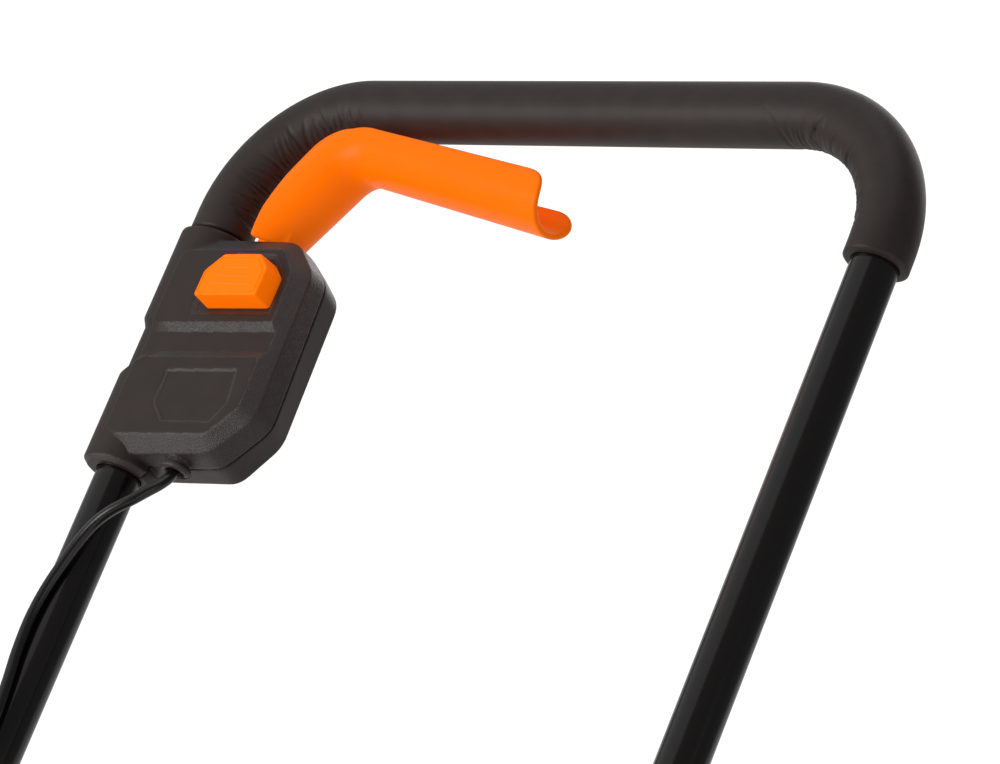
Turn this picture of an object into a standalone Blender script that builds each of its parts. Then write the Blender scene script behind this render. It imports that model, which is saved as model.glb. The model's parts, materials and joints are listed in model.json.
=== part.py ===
"""Cordless walk-behind lawn mower with a folding U handle, a bail lever and a rear grass box.

Metres, +Z up. The mower stands on z = 0 and mows towards -Y, so whoever pushes it stands at +Y.
Everything on the handle is drawn in the handle's own frame: x across, y up along the tubes from
the crossbar's axis, z out of the handle's front. Everything else is drawn in world axes.
"""

from math import asin, ceil, cos, pi, radians, sin, sqrt, tan

import bmesh
import bpy
from mathutils import Matrix, Vector

# Whole machine
CROSSBAR_HEIGHT = 0.985
HANDLE_LEAN = radians(33.9)          # from the vertical
GAP = 0.0003                         # between pieces that touch

# Upper handle
TUBE_R = 0.0125
TUBE_WALL = 0.0015
HANDLE_WIDTH = 0.4337                # between the legs' axes, where they meet the bends
LEG_SPLAY = radians(0.61)            # each leg leans in towards the bottom
BEND_LEFT = 0.071
BEND_RIGHT = 0.077
FOLD_DROP = 0.525                    # crossbar to fold bolt, along the handle
LEG_TAIL = 0.024                     # leg left below the fold bolt
FOAM_R = 0.0172
FOAM_LEFT_END = -0.0852
FOAM_RIGHT_END = -0.087

# Switch box on the left leg, in the handle's frame
SLEEVE_R = 0.0195
SLEEVE_BOTTOM = -0.2335
SLEEVE_CHAMFER = 0.003
SLEEVE_SQUARENESS = 2.8              # of the sleeve's outer side: 2 would be round
BOX_TOP = -0.092
SLEEVE_TOP = -0.086
BOX_BOTTOM = -0.2265
BOX_FRONT = 0.0198
BOX_WALL = 0.0026
PIVOT = Vector((-0.188, -0.106, 0.0))
PIVOT_PIN_R = 0.0025
BUTTON_TOP = 0.031
BUTTON_FOOT = 0.009
CABLE_R = 0.0031
CABLE_EXIT = Vector((-0.171, -0.2265, 0.007))

# Bail lever
GUTTER_R = 0.0195
GUTTER_WALL = 0.0030
LEVER_ARM_FOOT = Vector((-0.186, -0.088))
LEVER_CORNER = Vector((-0.1418, -0.0223))
LEVER_END = Vector((0.0070, -0.0556))
LEVER_KNEE_R = 0.030
ARM_CUT = -0.0910
LIP_TILT = 0.0028

# Lower handle
LOWER_INSET = 2 * TUBE_R + 0.0006    # the lower tubes lie just inside the upper ones
LOWER_TOP = -0.497
BRACKET_DROP = 0.930
BOLT_R = 0.004
CAM_R = 0.0095

# Deck
DECK_HALF = 0.220
DECK_FRONT = -0.300
DECK_FRONT_CORNER = 0.085
DECK_REAR_CORNER = 0.045
DECK_REAR = 0.205
SKIRT_Z = 0.050
DECK_TOP = 0.165
SHEET = 0.003
MOTOR_Y = -0.060
BLADE_LENGTH = 0.390
BLADE_Z = 0.095
HOOD_TOP = 0.300
TUNNEL_HALF = 0.110
TUNNEL_TOP = 0.225

# Wheels: axle place, wheel radius
FRONT_AXLE = (-0.275, 0.085)
REAR_AXLE = (0.175, 0.100)
AXLE_R = 0.005
WHEEL_IN = 0.2245
WHEEL_WIDTH = 0.038
WHEEL_SIDES = 24

# The machine's length is centred on the origin
BRACKET_SPOT = 0.186                 # the lower tubes' foot bolts, before centring
FRONT_REACH = FRONT_AXLE[0] - FRONT_AXLE[1]
REAR_REACH = BRACKET_SPOT + BRACKET_DROP * sin(HANDLE_LEAN) + FOAM_R
LENGTH_SHIFT = -(FRONT_REACH + REAR_REACH) / 2

# Grass box
SNOUT_FRONT = 0.212
BAG_FRONT = 0.290
BAG_REAR = 0.600
BAG_HALF = 0.163
BAG_FLOOR = 0.130
BAG_SPLIT = 0.325
BAG_TOP = 0.405

LOOKS = {
    "black_tube": ((0.012, 0.012, 0.013), 0.25, 0.0),
    "foam": ((0.020, 0.018, 0.017), 0.85, 0.0),
    "dark_plastic": ((0.035, 0.028, 0.026), 0.50, 0.0),
    "orange_plastic": ((0.95, 0.24, 0.01), 0.35, 0.0),
    "steel": ((0.60, 0.60, 0.60), 0.30, 1.0),
    "black_rubber": ((0.015, 0.015, 0.015), 0.75, 0.0),
    "cable_black": ((0.010, 0.010, 0.010), 0.30, 0.0),
    "orange_deck": ((0.90, 0.20, 0.01), 0.30, 0.0),
    "green_board": ((0.02, 0.15, 0.06), 0.50, 0.0),
}


def clear_scene():
    for obj in list(bpy.data.objects):
        bpy.data.objects.remove(obj, do_unlink=True)


def make_materials():
    made = {}
    for name, (colour, roughness, metallic) in LOOKS.items():
        material = bpy.data.materials.new(name)
        material.use_nodes = True
        shader = material.node_tree.nodes["Principled BSDF"]
        shader.inputs["Base Color"].default_value = (*colour, 1.0)
        shader.inputs["Roughness"].default_value = roughness
        shader.inputs["Metallic"].default_value = metallic
        made[name] = material
    return made


def empty(name, matrix):
    obj = bpy.data.objects.new(name, None)
    obj.matrix_world = matrix
    bpy.context.collection.objects.link(obj)
    return obj


def add(name, bm, look, parent=None, origin=(0, 0, 0), smooth=35):
    """Makes an object of the mesh, whose vertices are in the parent's frame, with its origin moved."""
    origin = Vector(origin)
    bmesh.ops.translate(bm, verts=bm.verts, vec=-origin)
    bmesh.ops.recalc_face_normals(bm, faces=bm.faces)
    mesh = bpy.data.meshes.new(name)
    bm.to_mesh(mesh)
    bm.free()
    mesh.shade_smooth()
    mesh.set_sharp_from_angle(angle=radians(smooth))
    if look:
        mesh.materials.append(MATERIALS[look])
    obj = bpy.data.objects.new(name, mesh)
    obj.parent = parent
    obj.location = origin
    bpy.context.collection.objects.link(obj)
    return obj


def helper(bm, parent=None):
    """A cutter or an operand, which isn't part of the machine itself."""
    obj = add("helper", bm, None, parent)
    obj.hide_render = True
    obj.display_type = "WIRE"
    return obj


def boolean(obj, other, operation):
    modifier = obj.modifiers.new(operation.lower(), "BOOLEAN")
    modifier.operation = operation
    modifier.object = other
    modifier.solver = "EXACT"


def cut(obj, *cutters):
    for cutter in cutters:
        boolean(obj, cutter, "DIFFERENCE")


def union(obj, *others):
    for other in others:
        boolean(obj, other, "UNION")


def loft(rings):
    """A closed solid through rings of equally many points, with flat ends."""
    bm = bmesh.new()
    rows = [[bm.verts.new(point) for point in ring] for ring in rings]
    for low, high in zip(rows, rows[1:]):
        for i in range(len(low)):
            j = (i + 1) % len(low)
            bm.faces.new((low[i], low[j], high[j], high[i]))
    bm.faces.new(reversed(rows[0]))
    bm.faces.new(rows[-1])
    return bm


def prism(outline, low, high, axis="z"):
    """The outline, drawn across the axis, drawn out along it from low to high."""
    place = {
        "x": lambda a, b, depth: (depth, a, b),
        "y": lambda a, b, depth: (a, depth, b),
        "z": lambda a, b, depth: (a, b, depth),
    }[axis]
    return loft([[place(a, b, depth) for a, b in outline] for depth in (low, high)])


def block(low, high):
    corners = [(low[0], low[1]), (high[0], low[1]), (high[0], high[1]), (low[0], high[1])]
    return prism(corners, low[2], high[2])


def axes_of(direction):
    """A rotation whose z axis is the direction."""
    return Vector(direction).to_track_quat("Z", "Y").to_matrix().to_4x4()


def turned(profile, centre=(0, 0, 0), direction=(0, 0, 1), sides=24):
    """The (radius, height) profile turned about the direction; points at radius 0 are shared."""
    bm = bmesh.new()
    columns = []
    for radius, height in profile:
        if radius == 0:
            columns.append([bm.verts.new((0, 0, height))] * sides)
        else:
            turn = [2 * pi * i / sides for i in range(sides)]
            columns.append([bm.verts.new((radius * cos(a), radius * sin(a), height)) for a in turn])
    closed = profile[0][0] != 0
    pairs = list(zip(columns, columns[1:]))
    if closed:
        pairs.append((columns[-1], columns[0]))
    for low, high in pairs:
        for i in range(sides):
            j = (i + 1) % sides
            corners = dict.fromkeys((low[i], low[j], high[j], high[i]))
            if len(corners) > 2:
                bm.faces.new(corners)
    bm.transform(Matrix.Translation(centre) @ axes_of(direction))
    return bm


def rod(radius, start, end, sides=16):
    length = (Vector(end) - Vector(start)).length
    profile = [(0, 0), (radius, 0), (radius, length), (0, length)]
    return turned(profile, start, Vector(end) - Vector(start), sides)


def circle_points(radius, sides):
    return [(radius * cos(2 * pi * i / sides), radius * sin(2 * pi * i / sides)) for i in range(sides)]


def rounded(half_x, low_y, high_y, low_radius, high_radius, steps=4):
    """A rectangle across X with its corners rounded, two radii, counter-clockwise from -X, low Y."""
    corners = [
        (-half_x + low_radius, low_y + low_radius, low_radius, pi),
        (half_x - low_radius, low_y + low_radius, low_radius, 1.5 * pi),
        (half_x - high_radius, high_y - high_radius, high_radius, 0),
        (-half_x + high_radius, high_y - high_radius, high_radius, 0.5 * pi),
    ]
    points = []
    for x, y, radius, start in corners:
        for i in range(steps + 1):
            turn = start + 0.5 * pi * i / steps
            points.append((x + radius * cos(turn), y + radius * sin(turn)))
    return points


def bend_radius(side):
    return BEND_LEFT if side < 0 else BEND_RIGHT


def leg_x(side, drop):
    """Where a leg's axis is across the handle, at a height along it (negative is down)."""
    return side * (HANDLE_WIDTH / 2 + tan(LEG_SPLAY) * (drop + bend_radius(side)))


def handle_path(left_end, right_end, bend_steps=8):
    """The bent tube's axis from one leg's end, over the crossbar, to the other's."""
    points = [Vector((leg_x(-1, left_end), left_end, 0))]
    for side in (-1, 1):
        bend = bend_radius(side)
        centre = Vector((side * (HANDLE_WIDTH / 2 - bend), -bend, 0))
        for i in range(bend_steps + 1):
            turn = 0.5 * pi * (i if side < 0 else bend_steps - i) / bend_steps
            points.append(centre + Vector((side * bend * cos(turn), bend * sin(turn), 0)))
    points.append(Vector((leg_x(1, right_end), right_end, 0)))
    return points


def sweep_rings(path, radius, sides):
    """Circles square to a path that lies in the handle's plane."""
    rings = []
    steps = [(q - p).normalized() for p, q in zip(path, path[1:])]
    for point, before, after in zip(path, [steps[0], *steps], [*steps, steps[-1]]):
        along = (before + after).normalized()
        across = Vector((-along.y, along.x, 0)) / along.dot(after)
        out = Vector((0, 0, 1))
        rings.append([point + across * a + out * b for a, b in circle_points(radius, sides)])
    return rings


def hollow_sweep(path, outer, inner, sides=14):
    """An open-ended pipe along the path."""
    bm = bmesh.new()
    skins = []
    for radius in (outer, inner):
        skins.append([[bm.verts.new(p) for p in ring] for ring in sweep_rings(path, radius, sides)])
    for rows, flip in zip(skins, (False, True)):
        for low, high in zip(rows, rows[1:]):
            for i in range(sides):
                j = (i + 1) % sides
                corners = (low[i], low[j], high[j], high[i])
                bm.faces.new(reversed(corners) if flip else corners)
    for end in (0, -1):
        for i in range(sides):
            j = (i + 1) % sides
            bm.faces.new((skins[0][end][i], skins[0][end][j], skins[1][end][j], skins[1][end][i]))
    return bm


def smooth_route(points, spacing):
    """Points at an even spacing along a Catmull-Rom curve through the route's own points."""
    points = [Vector(p) for p in points]
    ends = [2 * points[0] - points[1], *points, 2 * points[-1] - points[-2]]
    fine = []
    for a, b, c, d in zip(ends, ends[1:], ends[2:], ends[3:]):
        for i in range(24):
            t = i / 24
            square, cube = 2 * a - 5 * b + 4 * c - d, 3 * b - a - 3 * c + d
            fine.append(0.5 * (2 * b + (c - a) * t + square * t**2 + cube * t**3))
    fine.append(points[-1])
    total = sum((q - p).length for p, q in zip(fine, fine[1:]))
    step = total / ceil(total / spacing)
    out, run, goal = [fine[0]], 0.0, step
    for p, q in zip(fine, fine[1:]):
        length = (q - p).length
        while run + length >= goal - 1e-9 and length > 0:
            out.append(p.lerp(q, (goal - run) / length))
            goal += step
        run += length
    out[-1] = fine[-1]
    return out


def wire(name, points, radius, look, parent=None, resolution=1):
    """A round wire along the points, as a curve with filled ends."""
    curve = bpy.data.curves.new(name, "CURVE")
    curve.dimensions = "3D"
    curve.bevel_depth = radius
    curve.bevel_resolution = resolution
    curve.use_fill_caps = True
    spline = curve.splines.new("POLY")
    spline.points.add(len(points) - 1)
    for spot, point in zip(spline.points, points):
        spot.co = (*point, 1.0)
    curve.materials.append(MATERIALS[look])
    obj = bpy.data.objects.new(name, curve)
    obj.parent = parent
    bpy.context.collection.objects.link(obj)
    return obj


def coil_points(radius, length, turns, steps=8):
    count = int(turns * steps)
    turn = [2 * pi * i / steps for i in range(count + 1)]
    return [Vector((radius * cos(a), radius * sin(a), length * i / count)) for i, a in enumerate(turn)]


# ---------------------------------------------------------------- upper handle

def make_upper_handle(frame):
    fold_ends = -FOLD_DROP - LEG_TAIL
    bm = hollow_sweep(handle_path(fold_ends, fold_ends), TUBE_R, TUBE_R - TUBE_WALL)
    tube = add("upper_handle_tube", bm, "black_tube", frame)
    for side in (-1, 1):
        x = leg_x(side, -FOLD_DROP)
        cut(tube, helper(rod(BOLT_R + GAP, (x - 0.03, -FOLD_DROP, 0), (x + 0.03, -FOLD_DROP, 0), 12), frame))
    bm = hollow_sweep(handle_path(FOAM_LEFT_END, FOAM_RIGHT_END), FOAM_R, TUBE_R + GAP)
    add("foam_grip", bm, "foam", frame)


def slab_outline(inset=0.0, top=BOX_TOP, bottom=BOX_BOTTOM):
    """The switch box's outline beside the tube, seen from the front, moved in by the inset."""
    tube_x = leg_x(-1, (top + bottom) / 2)
    slant = inset * (sqrt(2) - 1)
    return [
        (tube_x, bottom + inset),
        (-0.1390 - slant, bottom + 0.0015 + inset),
        (-0.1215 - inset, -0.2015 + slant),
        (-0.1265 - inset, -0.1115 - slant),
        (-0.1475 - slant, top - inset),
        (tube_x, top - inset),
    ]


def slab(levels):
    return loft([[(x, y, z) for x, y in slab_outline(inset)] for z, inset in levels])


def leg_rod(radius, low, high, sides=28):
    """A cylinder on the left leg's axis between two heights along it."""
    return rod(radius, (leg_x(-1, low), low, 0), (leg_x(-1, high), high, 0), sides)


def sleeve(top):
    """The box's sleeve round the tube: round towards the box, squarer on its outer side."""
    angles = [2 * pi * i / 28 for i in range(28)]
    rings = []
    for y, inset in ((SLEEVE_BOTTOM, SLEEVE_CHAMFER), (SLEEVE_BOTTOM + SLEEVE_CHAMFER, 0), (top, 0)):
        ring = []
        for angle in angles:
            power = SLEEVE_SQUARENESS if cos(angle) < 0 else 2
            radius = (SLEEVE_R - inset) / (abs(cos(angle)) ** power + abs(sin(angle)) ** power) ** (1 / power)
            ring.append((leg_x(-1, y) + radius * cos(angle), y, min(radius * sin(angle), BOX_FRONT - 0.0003)))
        rings.append(ring)
    return loft(rings)


def button_outline(grow=0.0):
    """The lock-off button seen from the front: a rectangle with its top corners cut off."""
    left, right, top, bottom = -0.1875 - grow, -0.1422 + grow, -0.1095 + grow, -0.1385 - grow
    return [
        (left + 0.006, bottom),
        (right, bottom),
        (right, top - 0.0085),
        (right - 0.009, top),
        (left + 0.0115, top),
        (left, top - 0.013),
    ]


def make_switch_box(frame):
    """Two shells clamped on the tube, split along the handle's plane."""
    for name, side in (("switch_box_front", 1), ("switch_box_rear", -1)):
        if side > 0:
            levels = [(-0.001, 0), (0.013, 0.0008), (BOX_FRONT, 0.0085)]
            hollow = [(-0.002, BOX_WALL), (0.0115, BOX_WALL + 0.001), (BOX_FRONT - BOX_WALL, 0.0095)]
        else:
            levels = [(-BOX_FRONT, 0.0035), (-0.0165, 0.0005), (0.001, 0)]
            hollow = [(-BOX_FRONT + BOX_WALL, BOX_WALL + 0.002), (0.002, BOX_WALL)]
        shell = add(name, slab(levels), "dark_plastic", frame)
        union(shell, helper(sleeve(SLEEVE_TOP), frame))
        cavity = helper(slab(hollow), frame)
        cut(cavity, helper(leg_rod(TUBE_R + 0.0028, BOX_BOTTOM - 0.01, SLEEVE_TOP + 0.01), frame))
        cut(shell, cavity)
        cut(shell, helper(leg_rod(TUBE_R + GAP, BOX_BOTTOM - 0.02, SLEEVE_TOP + 0.02, 20), frame))
        neck_way = block((-0.1985, BOX_TOP - 0.006, -0.0082), (-0.1525, SLEEVE_TOP + 0.02, 0.0082))
        cut(shell, helper(neck_way, frame))
        cable_way = rod(0.0046, CABLE_EXIT + Vector((0, 0.006, 0)), CABLE_EXIT - Vector((0, 0.006, 0)), 16)
        if side > 0:
            cut(shell, helper(cable_way, frame))
            cut(shell, helper(prism(button_outline(0.0004), 0.004, 0.03), frame))
        other_half = block((-0.26, -0.26, -side * 0.05 - 0.04), (-0.1, -0.06, -side * 0.05 + 0.04))
        bmesh.ops.translate(other_half, verts=other_half.verts, vec=(0, 0, side * (0.01 + GAP / 2)))
        cut(shell, helper(other_half, frame))
    make_box_insides(frame)


def make_box_insides(frame):
    low, high = -BOX_FRONT + BOX_WALL + GAP, BOX_FRONT - BOX_WALL - GAP
    pin = rod(PIVOT_PIN_R, PIVOT + Vector((0, 0, low)), PIVOT + Vector((0, 0, high)), 12)
    add("lever_pivot_pin", pin, "steel", frame)
    spring = [PIVOT + p for p in coil_points(0.0042, 0.0065, 4)]
    spring = [p + Vector((0, 0, -0.0145)) for p in spring]
    wire("lever_return_spring", spring, 0.0005, "steel", frame)
    add("micro_switch", block((-0.152, -0.182, -0.0080), (-0.142, -0.154, 0.0030)), "black_rubber", frame)
    centre = Vector((-0.1645, -0.1245, 0))
    button = add("lock_button", prism(button_outline(), BUTTON_FOOT, BUTTON_TOP), "orange_plastic",
                 frame, origin=centre + Vector((0, 0, BUTTON_TOP)))
    button.modifiers.new("edges", "BEVEL").width = 0.0009
    coil = coil_points(0.0035, BUTTON_FOOT - low - 0.0016, 4)
    coil = [p + centre + Vector((0, 0, low + 0.0008)) for p in coil]
    wire("button_spring", coil, 0.0004, "steel", frame)
    ring = [(CABLE_R + 0.0006, -0.0072), (0.0062, -0.0068), (0.0068, -0.0040), (0.0043, -0.0034),
            (0.0043, 0.0030), (CABLE_R + 0.0006, 0.0030)]
    profile = [(r, -h) for r, h in reversed(ring)]
    grommet = turned(profile, CABLE_EXIT + Vector((0, 0.0006, 0)), (0, -1, 0), 20)
    add("cable_grommet", grommet, "black_rubber", frame)


def lever_stations():
    """(axis point, direction, lip height above the axis) along the lever, foot to end."""
    arm = (LEVER_CORNER - LEVER_ARM_FOOT).normalized()
    grip = (LEVER_END - LEVER_CORNER).normalized()
    turn = arm.angle(grip)
    tangent = LEVER_KNEE_R * tan(turn / 2)
    start = LEVER_CORNER - arm * tangent
    inward = Vector((arm.y, -arm.x))
    centre = start + inward * LEVER_KNEE_R
    stations = []
    for share, lip in ((0, -0.0108), (0.3, -0.0018), (0.65, 0.0057)):
        stations.append((LEVER_ARM_FOOT.lerp(start, share), arm, lip))
    for i in range(6):
        angle = turn * i / 5
        out = Matrix.Rotation(-angle, 2) @ -inward
        along = Matrix.Rotation(-angle, 2) @ arm
        stations.append((centre + out * LEVER_KNEE_R, along, 0.0097 - 0.0082 * min(1, 1.6 * i / 5)))
    stations.append((LEVER_END, grip, 0.0055))
    return stations


def gutter_ring(point, along, lip, outer, inner, steps=8):
    """A U section, open towards the bar, its front lip higher: the outer wall from lip to lip, then
    back inside."""
    up = Vector((-along.y, along.x))
    section = []
    for radius, order in ((outer, 1), (inner, -1)):
        front, back = (asin(max(-1, min(1, (lip + tilt) / radius))) for tilt in (LIP_TILT, -LIP_TILT))
        turns = [front - (pi + front + back) * i / (2 * steps) for i in range(2 * steps + 1)]
        wall = [(radius * cos(turn), radius * sin(turn)) for turn in turns]
        section += wall[::order]
    return [(point.x + up.x * h, point.y + up.y * h, z) for z, h in section]


def make_bail_lever(frame):
    rings = [gutter_ring(p, d, lip, GUTTER_R, GUTTER_R - GUTTER_WALL) for p, d, lip in lever_stations()]
    lever = add("bail_lever", loft(rings), "orange_plastic", frame, origin=PIVOT)
    below_arm = [(-0.2300, -0.1400), (-0.1200, -0.1400), (-0.1200, ARM_CUT), (-0.1840, ARM_CUT),
                 (-0.1870, ARM_CUT + 0.0023), (-0.2300, ARM_CUT + 0.0023)]
    cut(lever, helper(prism(below_arm, -0.030, 0.031), frame))
    neck = [(-0.1925, -0.086), (-0.1925, -0.104), (-0.1880, -0.1125), (-0.1830, -0.1115),
            (-0.1620, -0.0950), (-0.1610, -0.0700), (-0.1800, -0.0730)]
    neck = helper(prism(neck, -0.0055, 0.0055), frame)
    bore = rod(PIVOT_PIN_R + GAP, PIVOT - Vector((0, 0, 0.02)), PIVOT + Vector((0, 0, 0.02)), 12)
    cut(neck, helper(bore, frame))
    union(lever, neck)


# ---------------------------------------------------------------- lower handle and fold

def lower_x(side):
    return side * (leg_x(1, -FOLD_DROP) - LOWER_INSET)


def make_lower_handle(frame):
    for side, word in ((-1, "left"), (1, "right")):
        x = lower_x(side)
        path = [Vector((x, LOWER_TOP, 0)), Vector((x, -BRACKET_DROP - 0.016, 0))]
        pipe = hollow_sweep(path, TUBE_R, TUBE_R - TUBE_WALL)
        tube = add(f"lower_handle_{word}", pipe, "black_tube", frame)
        for drop in (FOLD_DROP, BRACKET_DROP):
            cut(tube, helper(rod(BOLT_R + GAP, (x - 0.03, -drop, 0), (x + 0.03, -drop, 0), 12), frame))
        make_fold_clamp(frame, side, word)
        make_bracket(frame, side, word)


def make_fold_clamp(frame, side, word):
    """A bolt through both tubes, with a nut inside and a cam lever on its cross head outside."""
    outer = leg_x(side, -FOLD_DROP) + side * TUBE_R
    inner = lower_x(side) - side * TUBE_R
    y = -FOLD_DROP
    head = Vector((outer + side * (CAM_R + 0.0006), y, 0))
    nut = [(0.0078 * cos(pi * i / 3), 0.0078 * sin(pi * i / 3)) for i in range(6)]
    bolt = rod(BOLT_R, (inner - side * 0.008, y, 0), (head.x, y, 0), 12)
    bolt = add(f"fold_bolt_{word}", bolt, "steel", frame)
    nut_ends = sorted((inner - side * 0.0065, inner - side * GAP))
    union(bolt, helper(prism([(y + a, b) for a, b in nut], *nut_ends, axis="x"), frame))
    union(bolt, helper(rod(0.0035, head - Vector((0, 0, 0.0088)), head + Vector((0, 0, 0.0088)), 12), frame))
    disc = circle_points(CAM_R, 20)
    profile = [(head.x + a, y + b) for a, b in disc]
    cam = add(f"fold_cam_{word}", prism(profile, -0.009, 0.009), "orange_plastic", frame, origin=head)
    handle = [(0.0, -0.004), (0.0085, -0.004), (0.0100, -0.030), (0.0085, -0.070), (0.0040, -0.078),
              (0.0000, -0.070), (-0.0020, -0.030)]
    union(cam, helper(prism([(head.x + side * a, y + b) for a, b in handle], -0.0088, 0.0088), frame))
    slot = block((head.x - 0.02, y - 0.0058, -0.0045), (head.x + 0.02, y + 0.02, 0.0045))
    bore = rod(0.0038, head - Vector((0, 0, 0.02)), head + Vector((0, 0, 0.02)), 12)
    cut(cam, helper(slot, frame), helper(bore, frame))


def make_bracket(frame, side, word):
    """A plate standing on the deck, to which the lower tube is bolted by a hand knob."""
    foot = HANDLE @ Vector((0, -BRACKET_DROP, 0))
    inner = lower_x(side) - side * (TUBE_R + GAP)
    plate = [(foot.y - 0.030, DECK_TOP + GAP), (foot.y + 0.018, DECK_TOP + GAP), (foot.y + 0.018, foot.z),
             (foot.y + 0.010, foot.z + 0.016), (foot.y - 0.010, foot.z + 0.016), (foot.y - 0.020, foot.z)]
    ends = sorted((inner, inner - side * 0.004))
    bracket = add(f"handle_bracket_{word}", prism(plate, *ends, axis="x"), "steel")
    lug = block((min(inner - side * 0.004, inner + side * 0.016), foot.y - 0.030, DECK_TOP + GAP),
                (max(inner - side * 0.004, inner + side * 0.016), foot.y + 0.018, DECK_TOP + 0.004))
    union(bracket, helper(lug))
    bolt_hole = rod(BOLT_R + GAP, (inner - 0.03, foot.y, foot.z), (inner + 0.03, foot.y, foot.z), 12)
    cut(bracket, helper(bolt_hole))
    outer = lower_x(side) + side * (TUBE_R + GAP)
    grip = [((0.012 if i % 2 else 0.0145) * cos(pi * i / 6), (0.012 if i % 2 else 0.0145) * sin(pi * i / 6))
            for i in range(12)]
    knob = prism([(-BRACKET_DROP + a, b) for a, b in grip], *sorted((outer, outer + side * 0.014)), axis="x")
    knob = add(f"bracket_knob_{word}", knob, "black_rubber", frame)
    stud = rod(BOLT_R, (inner - side * 0.012, -BRACKET_DROP, 0), (outer + side * 0.004, -BRACKET_DROP, 0), 12)
    union(knob, helper(stud, frame))


# ---------------------------------------------------------------- cable

CABLE_ROUTE = [                      # in the handle's frame, from the grommet down to the lower tube's foot
    (-0.1710, -0.2240, 0.0070), (-0.1710, -0.2340, 0.0072), (-0.1695, -0.2420, 0.0095),
    (-0.1705, -0.2500, 0.0130),
    (-0.1780, -0.2590, 0.0165), (-0.1900, -0.2685, 0.0180), (-0.2020, -0.2795, 0.0178),
    (-0.2095, -0.2930, 0.0168), (-0.2125, -0.3100, 0.0162), (-0.2130, -0.3360, 0.0160),
    (-0.2118, -0.3780, 0.0164), (-0.2118, -0.4200, 0.0162), (-0.2122, -0.4500, 0.0160),
    (-0.2110, -0.4850, 0.0170), (-0.2030, -0.5200, 0.0210), (-0.1920, -0.5550, 0.0190),
    (-0.1875, -0.5950, 0.0165), (-0.1864, -0.6500, 0.0160), (-0.1864, -0.7200, 0.0160),
    (-0.1845, -0.7700, 0.0190), (-0.1750, -0.8150, 0.0280),
]
CABLE_INLET = Vector((-0.1250, 0.095, 0.235))   # in world axes, on the hood's rear left
CLIP_DROPS = (0.450, 0.700)
CLIP_EAR = 0.0160                    # height of the cable's eye in front of the tube's axis


def make_cable(frame):
    """One lead from the switch box to the hood, clipped along the left side of the handle."""
    inlet = CABLE_INLET + Vector((0, LENGTH_SHIFT, 0))
    local = HANDLE.inverted()
    steps = ((-0.028, 0.020, 0.018), (-0.012, 0.008, 0.002), (-0.0005, 0, 0))
    tail = [local @ (inlet + Vector(step)) for step in steps]
    wire("power_cable", smooth_route(CABLE_ROUTE + tail, 0.0125), CABLE_R, "cable_black", frame, 2)
    for drop, word in zip(CLIP_DROPS, ("upper", "lower")):
        x = leg_x(-1, -drop) if word == "upper" else lower_x(-1)
        route_x = -0.2122 if word == "upper" else -0.1864
        low, high = -drop - 0.006, -drop + 0.006
        ring = [(x + a, b) for a, b in circle_points(TUBE_R + 0.0028, 24)]
        clip = add(f"cable_clip_{word}", prism(ring, low, high, axis="y"), "black_rubber", frame)
        ear = [(route_x + a, CLIP_EAR + b) for a, b in circle_points(CABLE_R + 0.0020, 16)]
        union(clip, helper(prism(ear, low, high, axis="y"), frame))
        cut(clip, helper(rod(TUBE_R + GAP, (x, low - 0.01, 0), (x, high + 0.01, 0), 20), frame))
        cable_way = ((route_x, low - 0.01, CLIP_EAR), (route_x, high + 0.01, CLIP_EAR))
        cut(clip, helper(rod(CABLE_R + 0.0006, *cable_way, 14), frame))


# ---------------------------------------------------------------- deck, hood and motor

def shifted(bm):
    """World pieces are drawn with the wheelbase at hand, then moved so the machine is centred."""
    bmesh.ops.translate(bm, verts=bm.verts, vec=(0, LENGTH_SHIFT, 0))
    return bm


def deck_rings(inset, heights):
    rings = []
    for z, pull in heights:
        all_in = inset + pull
        outline = rounded(DECK_HALF - all_in, DECK_FRONT + all_in, DECK_REAR - all_in,
                          DECK_FRONT_CORNER - all_in, DECK_REAR_CORNER - all_in, 5)
        rings.append([(x, y, z) for x, y in outline])
    return rings


def make_deck():
    outside = [(SKIRT_Z, 0), (0.125, 0), (0.150, 0.005), (DECK_TOP, 0.018)]
    inside = [(SKIRT_Z - 0.01, 0), (0.125, 0), (0.149, 0.005), (DECK_TOP - SHEET, 0.018)]
    deck = add("deck_shell", shifted(loft(deck_rings(0, outside))), "orange_deck")
    tunnel = block((-TUNNEL_HALF - SHEET, 0.120, 0.100), (TUNNEL_HALF + SHEET, DECK_REAR, TUNNEL_TOP + SHEET))
    union(deck, helper(shifted(tunnel)))
    cut(deck, helper(shifted(loft(deck_rings(SHEET, inside)))))
    mouth = block((-TUNNEL_HALF, 0.123, 0.110), (TUNNEL_HALF, DECK_REAR + 0.02, TUNNEL_TOP))
    cut(deck, helper(shifted(mouth)))
    cut(deck, helper(shifted(rod(0.0225, (0, MOTOR_Y, 0.14), (0, MOTOR_Y, 0.2), 24))))
    for y, z in (FRONT_AXLE, REAR_AXLE):
        cut(deck, helper(shifted(rod(AXLE_R + GAP, (-0.3, y, z), (0.3, y, z), 14))))


def make_running_gear():
    for word, (y, z) in (("front", FRONT_AXLE), ("rear", REAR_AXLE)):
        reach = WHEEL_IN + WHEEL_WIDTH - 0.004
        add(f"{word}_axle", shifted(rod(AXLE_R, (-reach, y, z), (reach, y, z), 14)), "steel")
        for side, hand in ((-1, "left"), (1, "right")):
            make_wheel(f"{word}_{hand}", side, y, z)


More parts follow.
